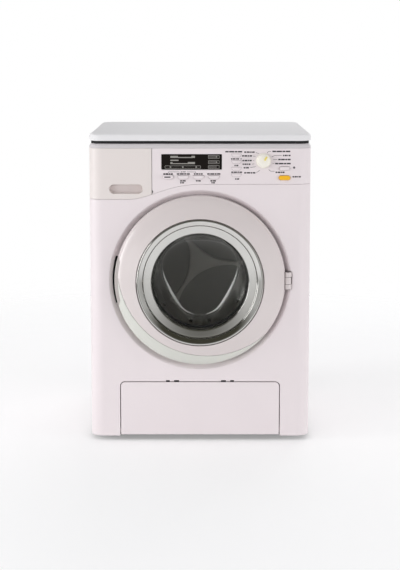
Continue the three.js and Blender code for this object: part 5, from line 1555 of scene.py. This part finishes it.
def door_crescent():
    """The paler crescent along the ring's lower edge."""
    piece = cut(ring_solid("porthole_crescent"), crescent_tool("disc", RING_PARTING))
    return dressed(piece, "door", crescent_white(), ["door_crescent"],
                   RING_SOFT_EDGE, ROUNDED_ANGLE)


GRIP_ARC = math.radians(17)
STRIP_OUTER = RING_RADIUS - 0.1 * MM
STRIP_INNER = RING_RADIUS - 3 * MM
STRIP_PROUD = 0.12 * MM
STRIP_SUNK = 0.3 * MM
STRIP_STEPS = 48
STRIP_ACROSS = 8


def ring_height(radius):
    """Place of the ring's front at a radius."""
    crown = [ring_point(*share) for share in RING_CROWN]
    for (r0, y0), (r1, y1) in zip(crown, crown[1:]):
        if r1 <= radius <= r0:
            return y0 + (y1 - y0) * (r0 - radius) / (r0 - r1)
    return crown[-1][1]


def grip_strip():
    """The grey finger grip along the ring's left edge, narrow at both ends."""
    rings = []
    for k in range(STRIP_STEPS + 1):
        turn = -math.pi / 2 - GRIP_ARC + 2 * GRIP_ARC * k / STRIP_STEPS
        taper = min(1, 0.2 + 8 * min(k, STRIP_STEPS - k) / STRIP_STEPS)
        radii = [STRIP_OUTER + (STRIP_INNER - STRIP_OUTER) * taper * j / STRIP_ACROSS
                 for j in range(STRIP_ACROSS + 1)]
        front = [(*polar(r, turn), ring_height(r) - STRIP_PROUD) for r in radii]
        back = [(*polar(r, turn), ring_height(r) + STRIP_SUNK) for r in radii[::-1]]
        rings.append([(u, y, DOOR_Z + v) for u, v, y in front + back])
    strip = loft("finger_grip_strip", rings)
    return dressed(strip, "door", grip_grey(), soften=0, angle=STRIP_ANGLE)


# Radius and depth behind the crest of the plated ring's front: a bead, and two bands with a small step
CHROME_PROFILE = (
    (53, 1.3), (52.75, 0.75), (52.4, 0.3), (52, 0.06), (51.6, 0), (51.1, 0.1), (50.5, 0.42), (49.8, 0.85),
    (48.9, 1.44), (48.1, 1.98), (47.8, 2.3), (47.55, 2.75), (47.3, 3.2), (47, 3.48), (46.6, 3.66),
    (46, 3.86), (44.8, 4.28), (43.4, 4.78), (42, 5.28), (41.2, 5.6), (40.7, 6), (40.4, 6.8), (40.25, 8),
)


CHROME_RIM = 1.5 * MM
CHROME_BACK_FROM = 24
CHROME_BACK_STEP = 6
CHROME_BACK_INNER = 41.5 * MM


def chrome_ring():
    """The plated ring: two beaded bands down to the bowl's mouth."""
    crest = FRONT_Y - DOOR_PROUD
    widest = CHROME_PROFILE[0][0]
    front = [(CHROME_OUTER + (r - widest) * MM, crest + depth * MM)
             for r, depth in blended(CHROME_PROFILE, BLEND_STEPS)]
    back = [(r + CHROME_SKIN, y + CHROME_SKIN / 2) for r, y in front[CHROME_BACK_FROM:-1:CHROME_BACK_STEP]
            if r > CHROME_BACK_INNER]
    ring = revolve("porthole_chrome", [
        (CHROME_OUTER, crest + CHROME_SKIN + CHROME_RIM), *front,
        (CHROME_INNER, FRONT_Y - CHROME_INNER_PROUD),
        (CHROME_INNER + CHROME_SKIN, FRONT_Y - CHROME_INNER_PROUD), *back[::-1],
    ], 2 * RING_SIDES)
    return dressed(ring, "door", ring_chrome(), ["door_chrome_ring"], 0, TURNED_ANGLE)


BOWL_SIDES = 192
# Radii of the bowl's end face in steps round from straight down, in millimetres
BOWL_END = (38, 36.6, 33, 31.9, 34.1, 37, 37.2, 34.2, 32.6, 34.2, 37.2, 37, 34.1, 31.9, 33, 36.6)


def bowl_end(turn):
    """Outer radius of the bowl's end face at an angle from straight down."""
    count = len(BOWL_END)
    place = (turn / (2 * math.pi)) % 1 * count
    whole = int(place)
    t = place - whole
    p, q, r, s = (BOWL_END[(whole + k) % count] for k in (-1, 0, 1, 2))
    return MM * (q + 0.5 * t * (r - p + t * (2 * p - 5 * q + 4 * r - s + t * (3 * (q - r) + s - p))))


def bowl_loop(radius_at, y):
    """One loop round the bowl at a depth, from a radius for each turn."""
    loop = []
    for i in range(BOWL_SIDES):
        turn = 2 * math.pi * i / BOWL_SIDES
        radius = radius_at(turn)
        loop.append((radius * math.sin(turn), y, DOOR_Z - radius * math.cos(turn)))
    return loop


# Steps of the bowl's wall behind its neck, and of its crowned end, as shares of the way
WALL_STEP_SHARES = (0.12, 0.25, 0.4, 0.55, 0.7, 0.82, 0.91, 0.97, 1)
END_STEP_SHARES = (
    (0.985, 0.1), (0.95, 0.25), (0.88, 0.4), (0.72, 0.62), (0.5, 0.8), (0.25, 0.94), (0.08, 1),
)


def bowl_loops(thin, mouth_y):
    """Loops of the bowl's skin from its mouth to its end, drawn in by a wall's thickness."""
    end_depth = BOWL_END_Y - FRONT_Y - BOWL_CROWN
    loops = [bowl_loop(lambda turn: BOWL_MOUTH - thin, mouth_y),
             bowl_loop(lambda turn: BOWL_NECK - thin, FRONT_Y + BOWL_NECK_DEPTH - thin)]
    for share in WALL_STEP_SHARES:
        ease = share * share * (3 - 2 * share) * 0.5 + share * 0.5
        y = FRONT_Y - thin + BOWL_NECK_DEPTH + (end_depth - BOWL_NECK_DEPTH) * share
        loops.append(bowl_loop(lambda turn, e=ease: BOWL_NECK + (bowl_end(turn) - BOWL_NECK) * e - thin, y))
    for shrink, rise in END_STEP_SHARES:
        y = FRONT_Y - thin + end_depth + BOWL_CROWN * rise
        loops.append(bowl_loop(lambda turn, k=shrink: (bowl_end(turn) - thin) * k, y))
    return loops


def door_bowl():
    """The smoked bowl, one wall thick, with its flange."""
    front = FRONT_Y - CHROME_INNER_PROUD + FIT_GAP
    outer = bowl_loops(0, front + BOWL_FLANGE_THICKNESS)
    inner = bowl_loops(BOWL_WALL, front)
    bm = bmesh.new()
    rows = [[bm.verts.new(p) for p in loop] for loop in inner[::-1]]
    for radius, y in ((BOWL_FLANGE, front), (BOWL_FLANGE, front + BOWL_FLANGE_THICKNESS)):
        rows.append([bm.verts.new(p) for p in bowl_loop(lambda turn, r=radius: r, y)])
    rows += [[bm.verts.new(p) for p in loop] for loop in outer]
    bridge(bm, rows)
    bm.faces.new(rows[0])
    bm.faces.new(rows[-1])
    bowl = mesh_object("smoked_bowl", bm)
    return dressed(bowl, "door", bowl_smoke(), ["door_bowl"], 0, TURNED_ANGLE)


# Clock angles of the clips behind the bowl's neck, from straight up
CLIP_TURNS = (-8, -64, -127, -168, 168, 122, 75, 36)
CLIP_HALF = 1.5 * MM
CLIP_LENGTH = 5 * MM
CLIP_LOW = 0.4 * MM
CLIP_HIGH = 2 * MM
CLIP_EDGE = 0.2 * MM
# Sizes of the painted glint, a pale rib that stands in for the highlight on the bowl's end
GLINT_STEPS = 96
GLINT_SIDES = 10
GLINT_INSET = 1 * MM
GLINT_THIN = 0.08
GLINT_STOUT = 1.3
# How far from straight down the painted glint is stoutest, and over what reach it thins
GLINT_STOUT_TURN = math.radians(52)
GLINT_STOUT_REACH = math.radians(44)


def bowl_glint():
    """A painted glint: a near-white rib round the bowl's end, stout along its two lower sides where the edge
    would catch the light.
    """
    points, radii = [], []
    for k in range(GLINT_STEPS):
        turn = 2 * math.pi * k / GLINT_STEPS
        radius = bowl_end(turn) - BOWL_WALL - GLINT_INSET
        points.append(Vector((radius * math.sin(turn), BOWL_END_Y - BOWL_WALL - BOWL_CROWN * 0.8,
                              DOOR_Z - radius * math.cos(turn))))
        low = min(turn, 2 * math.pi - turn)
        stout = max(0, 1 - abs(low - GLINT_STOUT_TURN) / GLINT_STOUT_REACH) ** 0.6
        radii.append((GLINT_THIN + GLINT_STOUT * stout) * MM)
    bm = bmesh.new()
    rows = []
    for k, point in enumerate(points):
        way = (points[(k + 1) % GLINT_STEPS] - points[k - 1]).normalized()
        side = way.cross(Vector((0, 1, 0))).normalized()
        up = side.cross(way)
        turns = [2 * math.pi * i / GLINT_SIDES for i in range(GLINT_SIDES)]
        places = [point + radii[k] * (math.cos(t) * side + math.sin(t) * up) for t in turns]
        rows.append([bm.verts.new(p) for p in places])
    bridge(bm, rows, True)
    edge = mesh_object("bowl_painted_glint", bm)
    return dressed(edge, "door", painted_glint_white(), soften=0, angle=STRIP_ANGLE)


def bowl_clips():
    """The dark clips behind the bowl's neck."""
    clips = []
    start = FRONT_Y + BOWL_NECK_DEPTH
    for turn in CLIP_TURNS:
        clip = block("clip", -CLIP_HALF, CLIP_HALF, start, start + CLIP_LENGTH,
                     BOWL_NECK + CLIP_LOW, BOWL_NECK + CLIP_HIGH)
        clip.data.transform(Matrix.Translation((0, 0, DOOR_Z)) @ Matrix.Rotation(math.radians(turn), 4, "Y"))
        clips.append(clip)
    return dressed(gathered("bowl_clips", clips), "door", black_rubber(), soften=CLIP_EDGE)


# Drum and gasket

DRUM_SIDES = 96
DRUM_SKIN = 1.4 * MM
DRUM_EDGE = 4 * MM
DRUM_LIP = 13 * MM
HUB_RADIUS = 9 * MM
HUB_BORE = 4.3 * MM
HUB_LENGTH = 4 * MM
HOLE_ROWS = 9
HOLES_ROUND = 48
HOLE_RADIUS = 1.2 * MM
HOLE_CORNERS = 16


def drum_basket():
    """The drum: a drawn-in mouth, a wall of round holes, and its back with a hub."""
    low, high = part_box("drum_shell")
    radius = (high.x - low.x) / 2
    skin, edge = DRUM_SKIN, DRUM_EDGE
    mouth = radius - DRUM_LIP
    front_y, back_y = DRUM_FRONT, drum_back()
    cap = [
        (mouth, front_y), (radius - edge, front_y), (radius - edge * 0.4, front_y + edge * 0.15),
        (radius - edge * 0.1, front_y + edge * 0.5), (radius, front_y + edge),
        (radius - skin, front_y + edge), (radius - skin - edge * 0.3, front_y + edge * 0.6),
        (radius - edge - skin / 2, front_y + skin), (mouth, front_y + skin),
    ]
    back_part = [
        (radius, back_y - edge), (radius - edge * 0.1, back_y - edge * 0.5),
        (radius - edge * 0.4, back_y - edge * 0.15), (radius - edge, back_y),
        (HUB_RADIUS, back_y), (HUB_RADIUS, high.y), (HUB_BORE, high.y), (HUB_BORE, back_y - skin),
        (radius - edge - skin / 2, back_y - skin), (radius - skin - edge * 0.3, back_y - edge * 0.6),
        (radius - skin, back_y - edge),
    ]
    front = revolve("front rim", cap, DRUM_SIDES)
    rear = revolve("back", back_part, DRUM_SIDES)
    wall = perforated_wall(radius, skin, front_y + edge, back_y - edge)
    basket = gathered("drum_basket", [front, rear, wall])
    return dressed(basket, "drum", drum_grey(), ["drum_shell"], 0, TURNED_ANGLE)


def drum_back():
    """Depth of the drum's back face, in front of its hub."""
    return box_high("drum_shell").y - HUB_LENGTH


def perforated_wall(radius, skin, y0, y1):
    """A cylinder wall with a round hole in each of its cells, given a thickness."""
    bm = bmesh.new()
    cell_y = (y1 - y0) / HOLE_ROWS
    cell_turn = 2 * math.pi / HOLES_ROUND
    for row in range(HOLE_ROWS):
        for column in range(HOLES_ROUND):
            middle_y = y0 + (row + 0.5) * cell_y
            middle_turn = (column + 0.5) * cell_turn
            outer, inner = [], []
            for k in range(HOLE_CORNERS):
                a = 2 * math.pi * k / HOLE_CORNERS
                du, dv = math.cos(a), math.sin(a)
                reach = 1 / max(abs(du), abs(dv))
                outer.append((middle_turn + du * reach * cell_turn / 2, middle_y + dv * reach * cell_y / 2))
                inner.append((middle_turn + du * HOLE_RADIUS / radius, middle_y + dv * HOLE_RADIUS))
            loops = []
            for loop in (outer, inner):
                places = [(radius * math.sin(t), y, DOOR_Z + radius * math.cos(t)) for t, y in loop]
                loops.append([bm.verts.new(p) for p in places])
            bridge(bm, loops)
    bmesh.ops.remove_doubles(bm, verts=bm.verts, dist=CELL_WELD)
    piece = mesh_object("drum wall", bm)
    thick = piece.modifiers.new("skin", "SOLIDIFY")
    thick.thickness = skin
    thick.offset = -1
    bake(piece)
    return piece


STAR_TURN = math.radians(-27)
STAR_SKIN = 0.9 * MM
STAR_TIP = 4.4 * MM
STAR_WAIST = 9.2 * MM
STAR_STEPS = 20
STAR_CLEAR = 15 * MM
STAR_EDGE = 1.6 * MM
STAR_LAP = 0.4 * MM
STAR_BORE_SIDES = 48


def drum_star():
    """The three-armed star on the inside of the drum's back."""
    low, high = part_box("drum_shell")
    radius = (high.x - low.x) / 2
    back_y = drum_back() - DRUM_SKIN
    arm = radius - STAR_CLEAR
    # Each side of the star is an arc that hollows in towards the hub between two arms
    tip_turn = math.pi / 3 - STAR_TIP / arm
    tip = Vector((arm * math.cos(tip_turn), arm * math.sin(tip_turn)))
    centre = (arm * arm - STAR_WAIST * STAR_WAIST) / (2 * (tip.x - STAR_WAIST))
    hollow = centre - STAR_WAIST
    sweep = math.atan2(tip.y, centre - tip.x)
    points = []
    for i in range(3):
        middle = STAR_TURN + (i + 0.5) * 2 * math.pi / 3
        for k in range(STAR_STEPS + 1):
            angle = sweep * (2 * k / STAR_STEPS - 1)
            ahead, across = centre - hollow * math.cos(angle), hollow * math.sin(angle)
            points.append(polar(math.hypot(ahead, across), middle + math.atan2(across, ahead)))

    def outline(inset):
        scaled = []
        for u, v in points:
            size = math.hypot(u, v)
            scaled.append((u * (size - inset) / size, DOOR_Z + v * (size - inset) / size))
        return scaled

    shaft_end = box_low("drum_shaft").y - FIT_GAP
    levels = rounded_levels(shaft_end - STAR_SKIN, back_y + STAR_LAP, STAR_EDGE, 0)
    star = prism("drum_star", outline, levels)
    cut(star, rod("bore", HUB_BORE, shaft_end, back_y + HUB_LENGTH, (0, DOOR_Z), STAR_BORE_SIDES))
    return dressed(star, "drum", star_grey(), soften=0, angle=ROUNDED_ANGLE)


PADDLE_OUTER = 59.0 * MM
PADDLE_TALL = 12 * MM
PADDLE_HALF = 7.5 * MM
PADDLE_STEPS = 12
PADDLE_ACROSS = 16
PADDLE_FOOT = 0.1 * MM
PADDLE_LIFT = 0.4 * MM


def paddle_rings(start, length):
    """Loops of a lifter from front to back, as it stands at the top of a drum round the origin."""
    rings = []
    for k in range(PADDLE_STEPS + 1):
        share = k / PADDLE_STEPS
        ends = math.sin(math.pi * min(share, 1 - share) * 3) if min(share, 1 - share) < 1 / 6 else 1
        rise = PADDLE_TALL * (0.55 + 0.45 * ends)
        y = start + length * share
        ring = []
        for j in range(PADDLE_ACROSS + 1):
            across = -1 + 2 * j / PADDLE_ACROSS
            crown = rise * (math.cos(across * math.pi / 2) ** 0.8) * 0.98
            ring.append((PADDLE_HALF * across, y, PADDLE_OUTER - crown - PADDLE_LIFT))
        foot = PADDLE_OUTER - PADDLE_FOOT
        rings.append([*ring, (PADDLE_HALF, y, foot), (-PADDLE_HALF, y, foot)])
    return rings


def drum_paddles():
    """Three rounded lifters along the drum's wall."""
    for i in range(3):
        node = f"drum_paddle_{i + 1}"
        low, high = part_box(node)
        middle = Vector(((low.x + high.x) / 2, 0, (low.z + high.z) / 2 - DOOR_Z))
        turn = round(math.atan2(middle.x, middle.z) / (math.pi / 3)) * math.pi / 3
        paddle = loft(f"drum_lifter_{i + 1}", paddle_rings(low.y, high.y - low.y))
        paddle.data.transform(Matrix.Translation((0, 0, DOOR_Z)) @ Matrix.Rotation(turn, 4, "Y"))
        keep(paddle, rod("seat", PADDLE_OUTER, low.y - WALL, high.y + WALL))
        dressed(paddle, "drum", drum_grey(), [node], 0, ROUNDED_ANGLE)


GASKET_LIP = 44.5 * MM
GASKET_THROAT = 50 * MM
GASKET_SKIN = 2.2 * MM
GASKET_SIDES = 144
GASKET_EDGE = 0.2 * MM
LIP_STEP = 1 * MM
LIP_FRONT = 0.7 * MM
LIP_BACK = 1.5 * MM
FOLDS = 5
FOLD_DEPTH = 1.1 * MM
FOLD_START = 3.4 * MM
FOLD_PITCH = 1.7 * MM


def door_gasket():
    """The rubber bellows between the casing's collar and the tub."""
    low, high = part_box("door_gasket")
    outer, front, back = high.x, low.y, high.y
    skin = GASKET_SKIN
    folds = [(outer - FOLD_START - k * FOLD_PITCH, front + (FOLD_DEPTH if k % 2 else 0))
             for k in range(FOLDS)]
    gasket = revolve("porthole_gasket", [
        (outer, front), (outer, back), (GASKET_THROAT, back), (GASKET_THROAT, back - skin),
        (outer - skin, back - skin), (outer - skin, front + skin),
        *[(radius, y + skin) for radius, y in folds],
        (GASKET_LIP + LIP_STEP, front + skin), (GASKET_LIP, front + LIP_BACK),
        (GASKET_LIP, front + LIP_FRONT), (GASKET_LIP + LIP_STEP, front),
        *folds[::-1],
    ], GASKET_SIDES)
    return dressed(gasket, "casing", grey_rubber(), ["door_gasket"], GASKET_EDGE)


# Plinth


def plinth_flap():
    """The hinged flap, a flat plate with its stubs and a stiffening rib behind."""
    behind = FRONT_Y + FLAP_THICKNESS / 2

    def outline(inset):
        return flap_outline(
            FLAP_PLATE_HALF - inset, FLAP_TOP - inset, FLAP_CORNER - inset * 0.5,
            CASING_LOW + FLAP_LIFT + inset)

    plate = prism("service_flap", outline, rounded_levels(FRONT_Y, FRONT_Y + FLAP_THICKNESS, FLAP_EDGE, 0))
    axis_y, axis_z = FRONT_Y + FLAP_AXIS_DEPTH, CASING_LOW + FLAP_AXIS_HEIGHT
    for side in (-1, 1):
        inner = side * (FLAP_PLATE_HALF - 2 * FLAP_THICKNESS)
        outer = side * FLAP_HALF
        stub = rod("stub", FLAP_STUB, min(inner, outer), max(inner, outer), (0, 0), STUB_SIDES)
        stub.data.transform(Matrix.Translation((0, axis_y, axis_z)) @ Matrix.Rotation(-math.pi / 2, 4, "Z"))
        lug = block("lug", *sorted((inner, side * FLAP_PLATE_HALF)), behind, axis_y,
                    axis_z - FLAP_STUB, axis_z + FLAP_STUB)
        join(plate, lug, stub)
    join(plate, block(
        "rib", -FLAP_PLATE_HALF + FLAP_RIB_END, FLAP_PLATE_HALF - FLAP_RIB_END, behind,
        FRONT_Y + FLAP_THICKNESS + FLAP_RIB_DEPTH, FLAP_TOP - FLAP_RIB_LOW, FLAP_TOP - FLAP_RIB_HIGH))
    return dressed(plate, "flap", body_white(), ["plinth_flap"], 0, TURNED_ANGLE)


# Nodes that keep their CAD shape


def kept_finishes():
    """The finish of each node that keeps its CAD shape."""
    return {
        "base_tray": inner_grey(), "worktop_spacer": black_rubber(), "circuit_board": board_green(),
        "drawer_tray": inner_grey(), "drawer_housing": inner_grey(), "fill_hose": grey_rubber(),
        "tub": inner_grey(), "tub_cover": inner_grey(), "shaft_bush": contact_brass(),
        "latch_socket": inner_grey(), "hinge_bracket": ring_white(), "hinge_pin": plain_steel(),
        "drive_belt": black_rubber(), "drum_shaft": plain_steel(), "drum_pulley": inner_grey(),
        "motor_pulley": contact_brass(), "motor_body": plain_steel(), "motor_cradle": inner_grey(),
        "door_frame": ring_white(), "battery_box": inner_grey(), "battery_cover": body_white(),
        "battery_screw": plain_steel(), "battery_cell_1": cell_grey(), "battery_cell_2": cell_grey(),
        "battery_cell_3": cell_grey(), "battery_contact_plate": plain_steel(),
        "battery_contact_springs": plain_steel(), "battery_lead": lead_red(), "motor_lead": lead_black(),
        "speaker": black_rubber(), "drain_pipe": grey_rubber(), "drain_nozzle": inner_grey(),
        "foot_front_left": black_rubber(), "foot_front_right": black_rubber(),
        "foot_rear_left": black_rubber(), "foot_rear_right": black_rubber(),
    }


NO_SOFT_EDGE = {
    "battery_lead", "motor_lead", "drive_belt", "drain_pipe", "fill_hose", "battery_contact_springs",
}


def inner_works():
    for name, material in kept_finishes().items():
        finish_node(name, material, 0 if name in NO_SOFT_EDGE else KEPT_EDGE)


# Stage

CAMERA_PLACE = (0.0, -1.2, 0.3367)
CAMERA_PITCH = 6.674
CAMERA_LENS = 85.75
CAMERA_SHIFT = -0.15
LAMPS = (
    ("key_light", (-1.0, -1.15, 0.22), 0.9, 0.4, 6.2, False),
    ("fill_light", (1.6, -0.6, 0.2), 0.9, 0.36, 10.0, False),
    ("top_light", (0.0, -0.2, 1.5), 1.0, 1.0, 1.5, False),
    ("rear_light", (0.3, 1.2, 0.8), 1.0, 1.0, 4.0, True),
    ("side_light", (-1.15, -0.3, 0.36), 0.3, 0.9, 4.0, True),
)
FLOOR_CLEAR = 0.3
FLOOR_GONE = 0.75
FLOOR_REACH = 1.2
FLOOR_GLOW = 0.2
LAMP_AIM = (0, 0, 0.13)
WORLD_LIGHT = 0.6
# How the world changes with direction: from, to, and the shares or strengths there
CEILING = (-0.15, 0.55, 0, 1)
FLANKS = (0.4, 0.95, 0, 0.6)
FACING = (-0.72, -0.97, 0, 0.8)
OVERHEAD = (0, 0.6, 1, 4.4)


def mapped(tree, value, start, end, first=0, last=1, **settings):
    """A value mapped from one range to another."""
    node = added(tree, "ShaderNodeMapRange", {
        "Value": value, "From Min": start, "From Max": end, "To Min": first, "To Max": last}, **settings)
    return node.outputs["Result"]


def seen_by(tree, strength=1.0):
    """The given strength for rays of the camera, of mirrors and through glass, and else nothing."""
    path = added(tree, "ShaderNodeLightPath").outputs
    value = path["Is Camera Ray"]
    for ray in ("Is Glossy Ray", "Is Transmission Ray"):
        value = maths(tree, "MAXIMUM", value, path[ray])
    return maths(tree, "MULTIPLY", value, strength)


def stage_floor():
    """A wide pale floor that keeps the object's shadow and fades into the white background."""
    bm = bmesh.new()
    corners = [(-1, -1), (1, -1), (1, 1), (-1, 1)]
    bm.faces.new([bm.verts.new((x * FLOOR_REACH, y * FLOOR_REACH, 0)) for x, y in corners])
    floor = mesh_object("studio_floor", bm)
    material = moulded("studio_floor", linear(243, 243, 243), roughness=0.8, cloud=0.01, grain=0.0)
    tree = material.node_tree
    out = next(node for node in tree.nodes if node.type == "OUTPUT_MATERIAL")
    place = added(tree, "ShaderNodeTexCoord").outputs["Object"]
    length = added(tree, "ShaderNodeVectorMath", {0: place}, operation="LENGTH").outputs["Value"]
    fade = mapped(tree, length, FLOOR_CLEAR, FLOOR_GONE, interpolation_type="SMOOTHSTEP")
    glow = added(tree, "ShaderNodeEmission", {"Strength": seen_by(tree, FLOOR_GLOW)})
    lifted = added(tree, "ShaderNodeAddShader", {
        0: tree.nodes["Principled BSDF"].outputs["BSDF"], 1: glow.outputs["Emission"]})
    open_part = added(tree, "ShaderNodeBsdfTransparent")
    mix = added(tree, "ShaderNodeMixShader", {
        "Fac": fade, 1: lifted.outputs["Shader"], 2: open_part.outputs["BSDF"]})
    tree.links.new(mix.outputs["Shader"], out.inputs["Surface"])
    floor.data.materials.append(material)
    return floor


def stage_camera():
    """The camera that matches the photograph."""
    data = bpy.data.cameras.new("photograph_view")
    data.lens = CAMERA_LENS
    data.shift_y = CAMERA_SHIFT
    camera = bpy.data.objects.new("photograph_view", data)
    camera.location = CAMERA_PLACE
    camera.rotation_euler = (math.radians(90 - CAMERA_PITCH), 0, 0)
    bpy.context.scene.collection.objects.link(camera)
    bpy.context.scene.camera = camera


def stage_lamps():
    """The area lamps, some of them kept out of reflections."""
    for name, place, width, height, power, mirrored in LAMPS:
        data = bpy.data.lights.new(name, "AREA")
        data.shape = "RECTANGLE"
        data.size = width
        data.size_y = height
        data.energy = power
        lamp = bpy.data.objects.new(name, data)
        lamp.visible_glossy = mirrored
        lamp.location = place
        aim = Vector(LAMP_AIM) - Vector(place)
        lamp.rotation_euler = aim.to_track_quat("-Z", "Y").to_euler()
        bpy.context.scene.collection.objects.link(lamp)


def gloss_colour(tree, way, path):
    """White, but darker in reflections towards the ceiling, the sides and the camera."""
    aside = maths(tree, "ABSOLUTE", way["X"])
    darker = mapped(tree, way["Z"], *CEILING)
    for value, ends in ((aside, FLANKS), (way["Y"], FACING)):
        darker = maths(tree, "MAXIMUM", darker, mapped(tree, value, *ends))
    mirrored = maths(tree, "MULTIPLY", darker, path["Is Glossy Ray"])
    shade = added(tree, "ShaderNodeMix", {
        "Factor": mirrored, "A": (1, 1, 1, 1), "B": linear(68, 67, 57)}, data_type="RGBA")
    return shade.outputs["Result"]


def drum_strength(tree, way, path):
    """One, but more from overhead for light that falls through the bowl onto the drum."""
    overhead = mapped(tree, way["Z"], *OVERHEAD)
    scattered = maths(tree, "MULTIPLY", path["Is Transmission Ray"], path["Diffuse Depth"], clamp=True)
    return added(tree, "ShaderNodeMix", {"Factor": scattered, "A": 1, "B": overhead}).outputs["Result"]


def stage_world():
    """White behind the object and pale light elsewhere, with its own tones for gloss and for the drum."""
    world = bpy.data.worlds.new("studio")
    bpy.context.scene.world = world
    world.use_nodes = True
    tree = world.node_tree
    tree.nodes.clear()
    path = added(tree, "ShaderNodeLightPath").outputs
    place = added(tree, "ShaderNodeTexCoord").outputs["Generated"]
    way = added(tree, "ShaderNodeSeparateXYZ", {"Vector": place}).outputs
    light = added(tree, "ShaderNodeBackground", {"Color": linear(250, 250, 252), "Strength": WORLD_LIGHT})
    seen = added(tree, "ShaderNodeBackground", {
        "Color": gloss_colour(tree, way, path), "Strength": drum_strength(tree, way, path)})
    mix = added(tree, "ShaderNodeMixShader", {
        "Fac": seen_by(tree), 1: light.outputs["Background"], 2: seen.outputs["Background"]})
    added(tree, "ShaderNodeOutputWorld", {"Surface": mix.outputs["Shader"]})


# Operators


class WasherStep(bpy.types.Operator):
    """Builds one part of the washing machine."""
    bl_idname = "washer.step"
    bl_label = "Washer Step"
    bl_options = {"REGISTER", "UNDO"}
    steps = ()

    def execute(self, context):
        for step in self.steps:
            step()
        return {"FINISHED"}


class WasherFrontPanel(WasherStep):
    """Builds the casing's front with the door's dish and the plinth's recess."""
    bl_idname = "washer.front_panel"
    bl_label = "Front Panel"
    steps = (front_panel, slot_shade_pieces, finger_shade)


class WasherBackHousing(WasherStep):
    """Builds the casing's sides and back, with its screws."""
    bl_idname = "washer.back_housing"
    bl_label = "Back Housing"
    steps = (back_housing, rear_screws)


class WasherLid(WasherStep):
    """Builds the worktop."""
    bl_idname = "washer.lid"
    bl_label = "Worktop"
    steps = (lid, lid_seal)


class WasherControls(WasherStep):
    """Builds the control panel, its display, print, buttons and dial."""
    bl_idname = "washer.controls"
    bl_label = "Controls"
    steps = (
        control_fascia, top_rail, panel_reliefs, display_window, panel_print, display_marks, buttons,
        programme_knob,
    )


class WasherDrawer(WasherStep):
    """Builds the soap drawer's front."""
    bl_idname = "washer.drawer"
    bl_label = "Soap Drawer"
    steps = (drawer_face,)


class WasherDoor(WasherStep):
    """Builds the door: ring, crescent, plated ring, bowl and grip."""
    bl_idname = "washer.door"
    bl_label = "Door"
    steps = (door_ring, door_crescent, grip_strip, chrome_ring, door_bowl, bowl_glint, bowl_clips)


class WasherDrum(WasherStep):
    """Builds the drum, its star and lifters, and the door's gasket."""
    bl_idname = "washer.drum"
    bl_label = "Drum"
    steps = (drum_basket, drum_star, drum_paddles, door_gasket)


class WasherPlinth(WasherStep):
    """Builds the plinth's flap."""
    bl_idname = "washer.plinth"
    bl_label = "Plinth Flap"
    steps = (plinth_flap,)


class WasherWorks(WasherStep):
    """Gives the pieces that keep their CAD shape their finishes."""
    bl_idname = "washer.works"
    bl_label = "Inner Works"
    steps = (inner_works,)


class WasherStage(WasherStep):
    """Sets the floor, camera, lamps and world."""
    bl_idname = "washer.stage"
    bl_label = "Stage"
    steps = (stage_floor, stage_camera, stage_lamps, stage_world)


OPERATORS = (
    WasherFrontPanel, WasherBackHousing, WasherLid, WasherControls, WasherDrawer, WasherDoor, WasherDrum,
    WasherPlinth, WasherWorks, WasherStage,
)


class WasherPanel(bpy.types.Panel):
    """Lists the steps and settings of the washing machine."""
    bl_idname = "VIEW3D_PT_washer"
    bl_label = "Toy Washing Machine"
    bl_space_type = "VIEW_3D"
    bl_region_type = "UI"
    bl_category = "Washer"

    def draw(self, context):
        layout = self.layout
        for group in (context.scene.washer_sizes, context.scene.washer_colours):
            for name in group.__annotations__:
                layout.prop(group, name)
        for operator in OPERATORS:
            layout.operator(operator.bl_idname)


CLASSES = (WasherColours, WasherSizes, *OPERATORS, WasherPanel)


def register():
    for cls in CLASSES:
        bpy.utils.register_class(cls)
    bpy.types.Scene.washer_colours = bpy.props.PointerProperty(type=WasherColours)
    bpy.types.Scene.washer_sizes = bpy.props.PointerProperty(type=WasherSizes)


def unregister():
    del bpy.types.Scene.washer_sizes
    del bpy.types.Scene.washer_colours
    for cls in reversed(CLASSES):
        bpy.utils.unregister_class(cls)


def main():
    register()
    bpy.context.scene.view_settings.view_transform = "Standard"
    for operator in OPERATORS:
        group, name = operator.bl_idname.split(".")
        getattr(getattr(bpy.ops, group), name)()


if __name__ == "__main__":
    main()
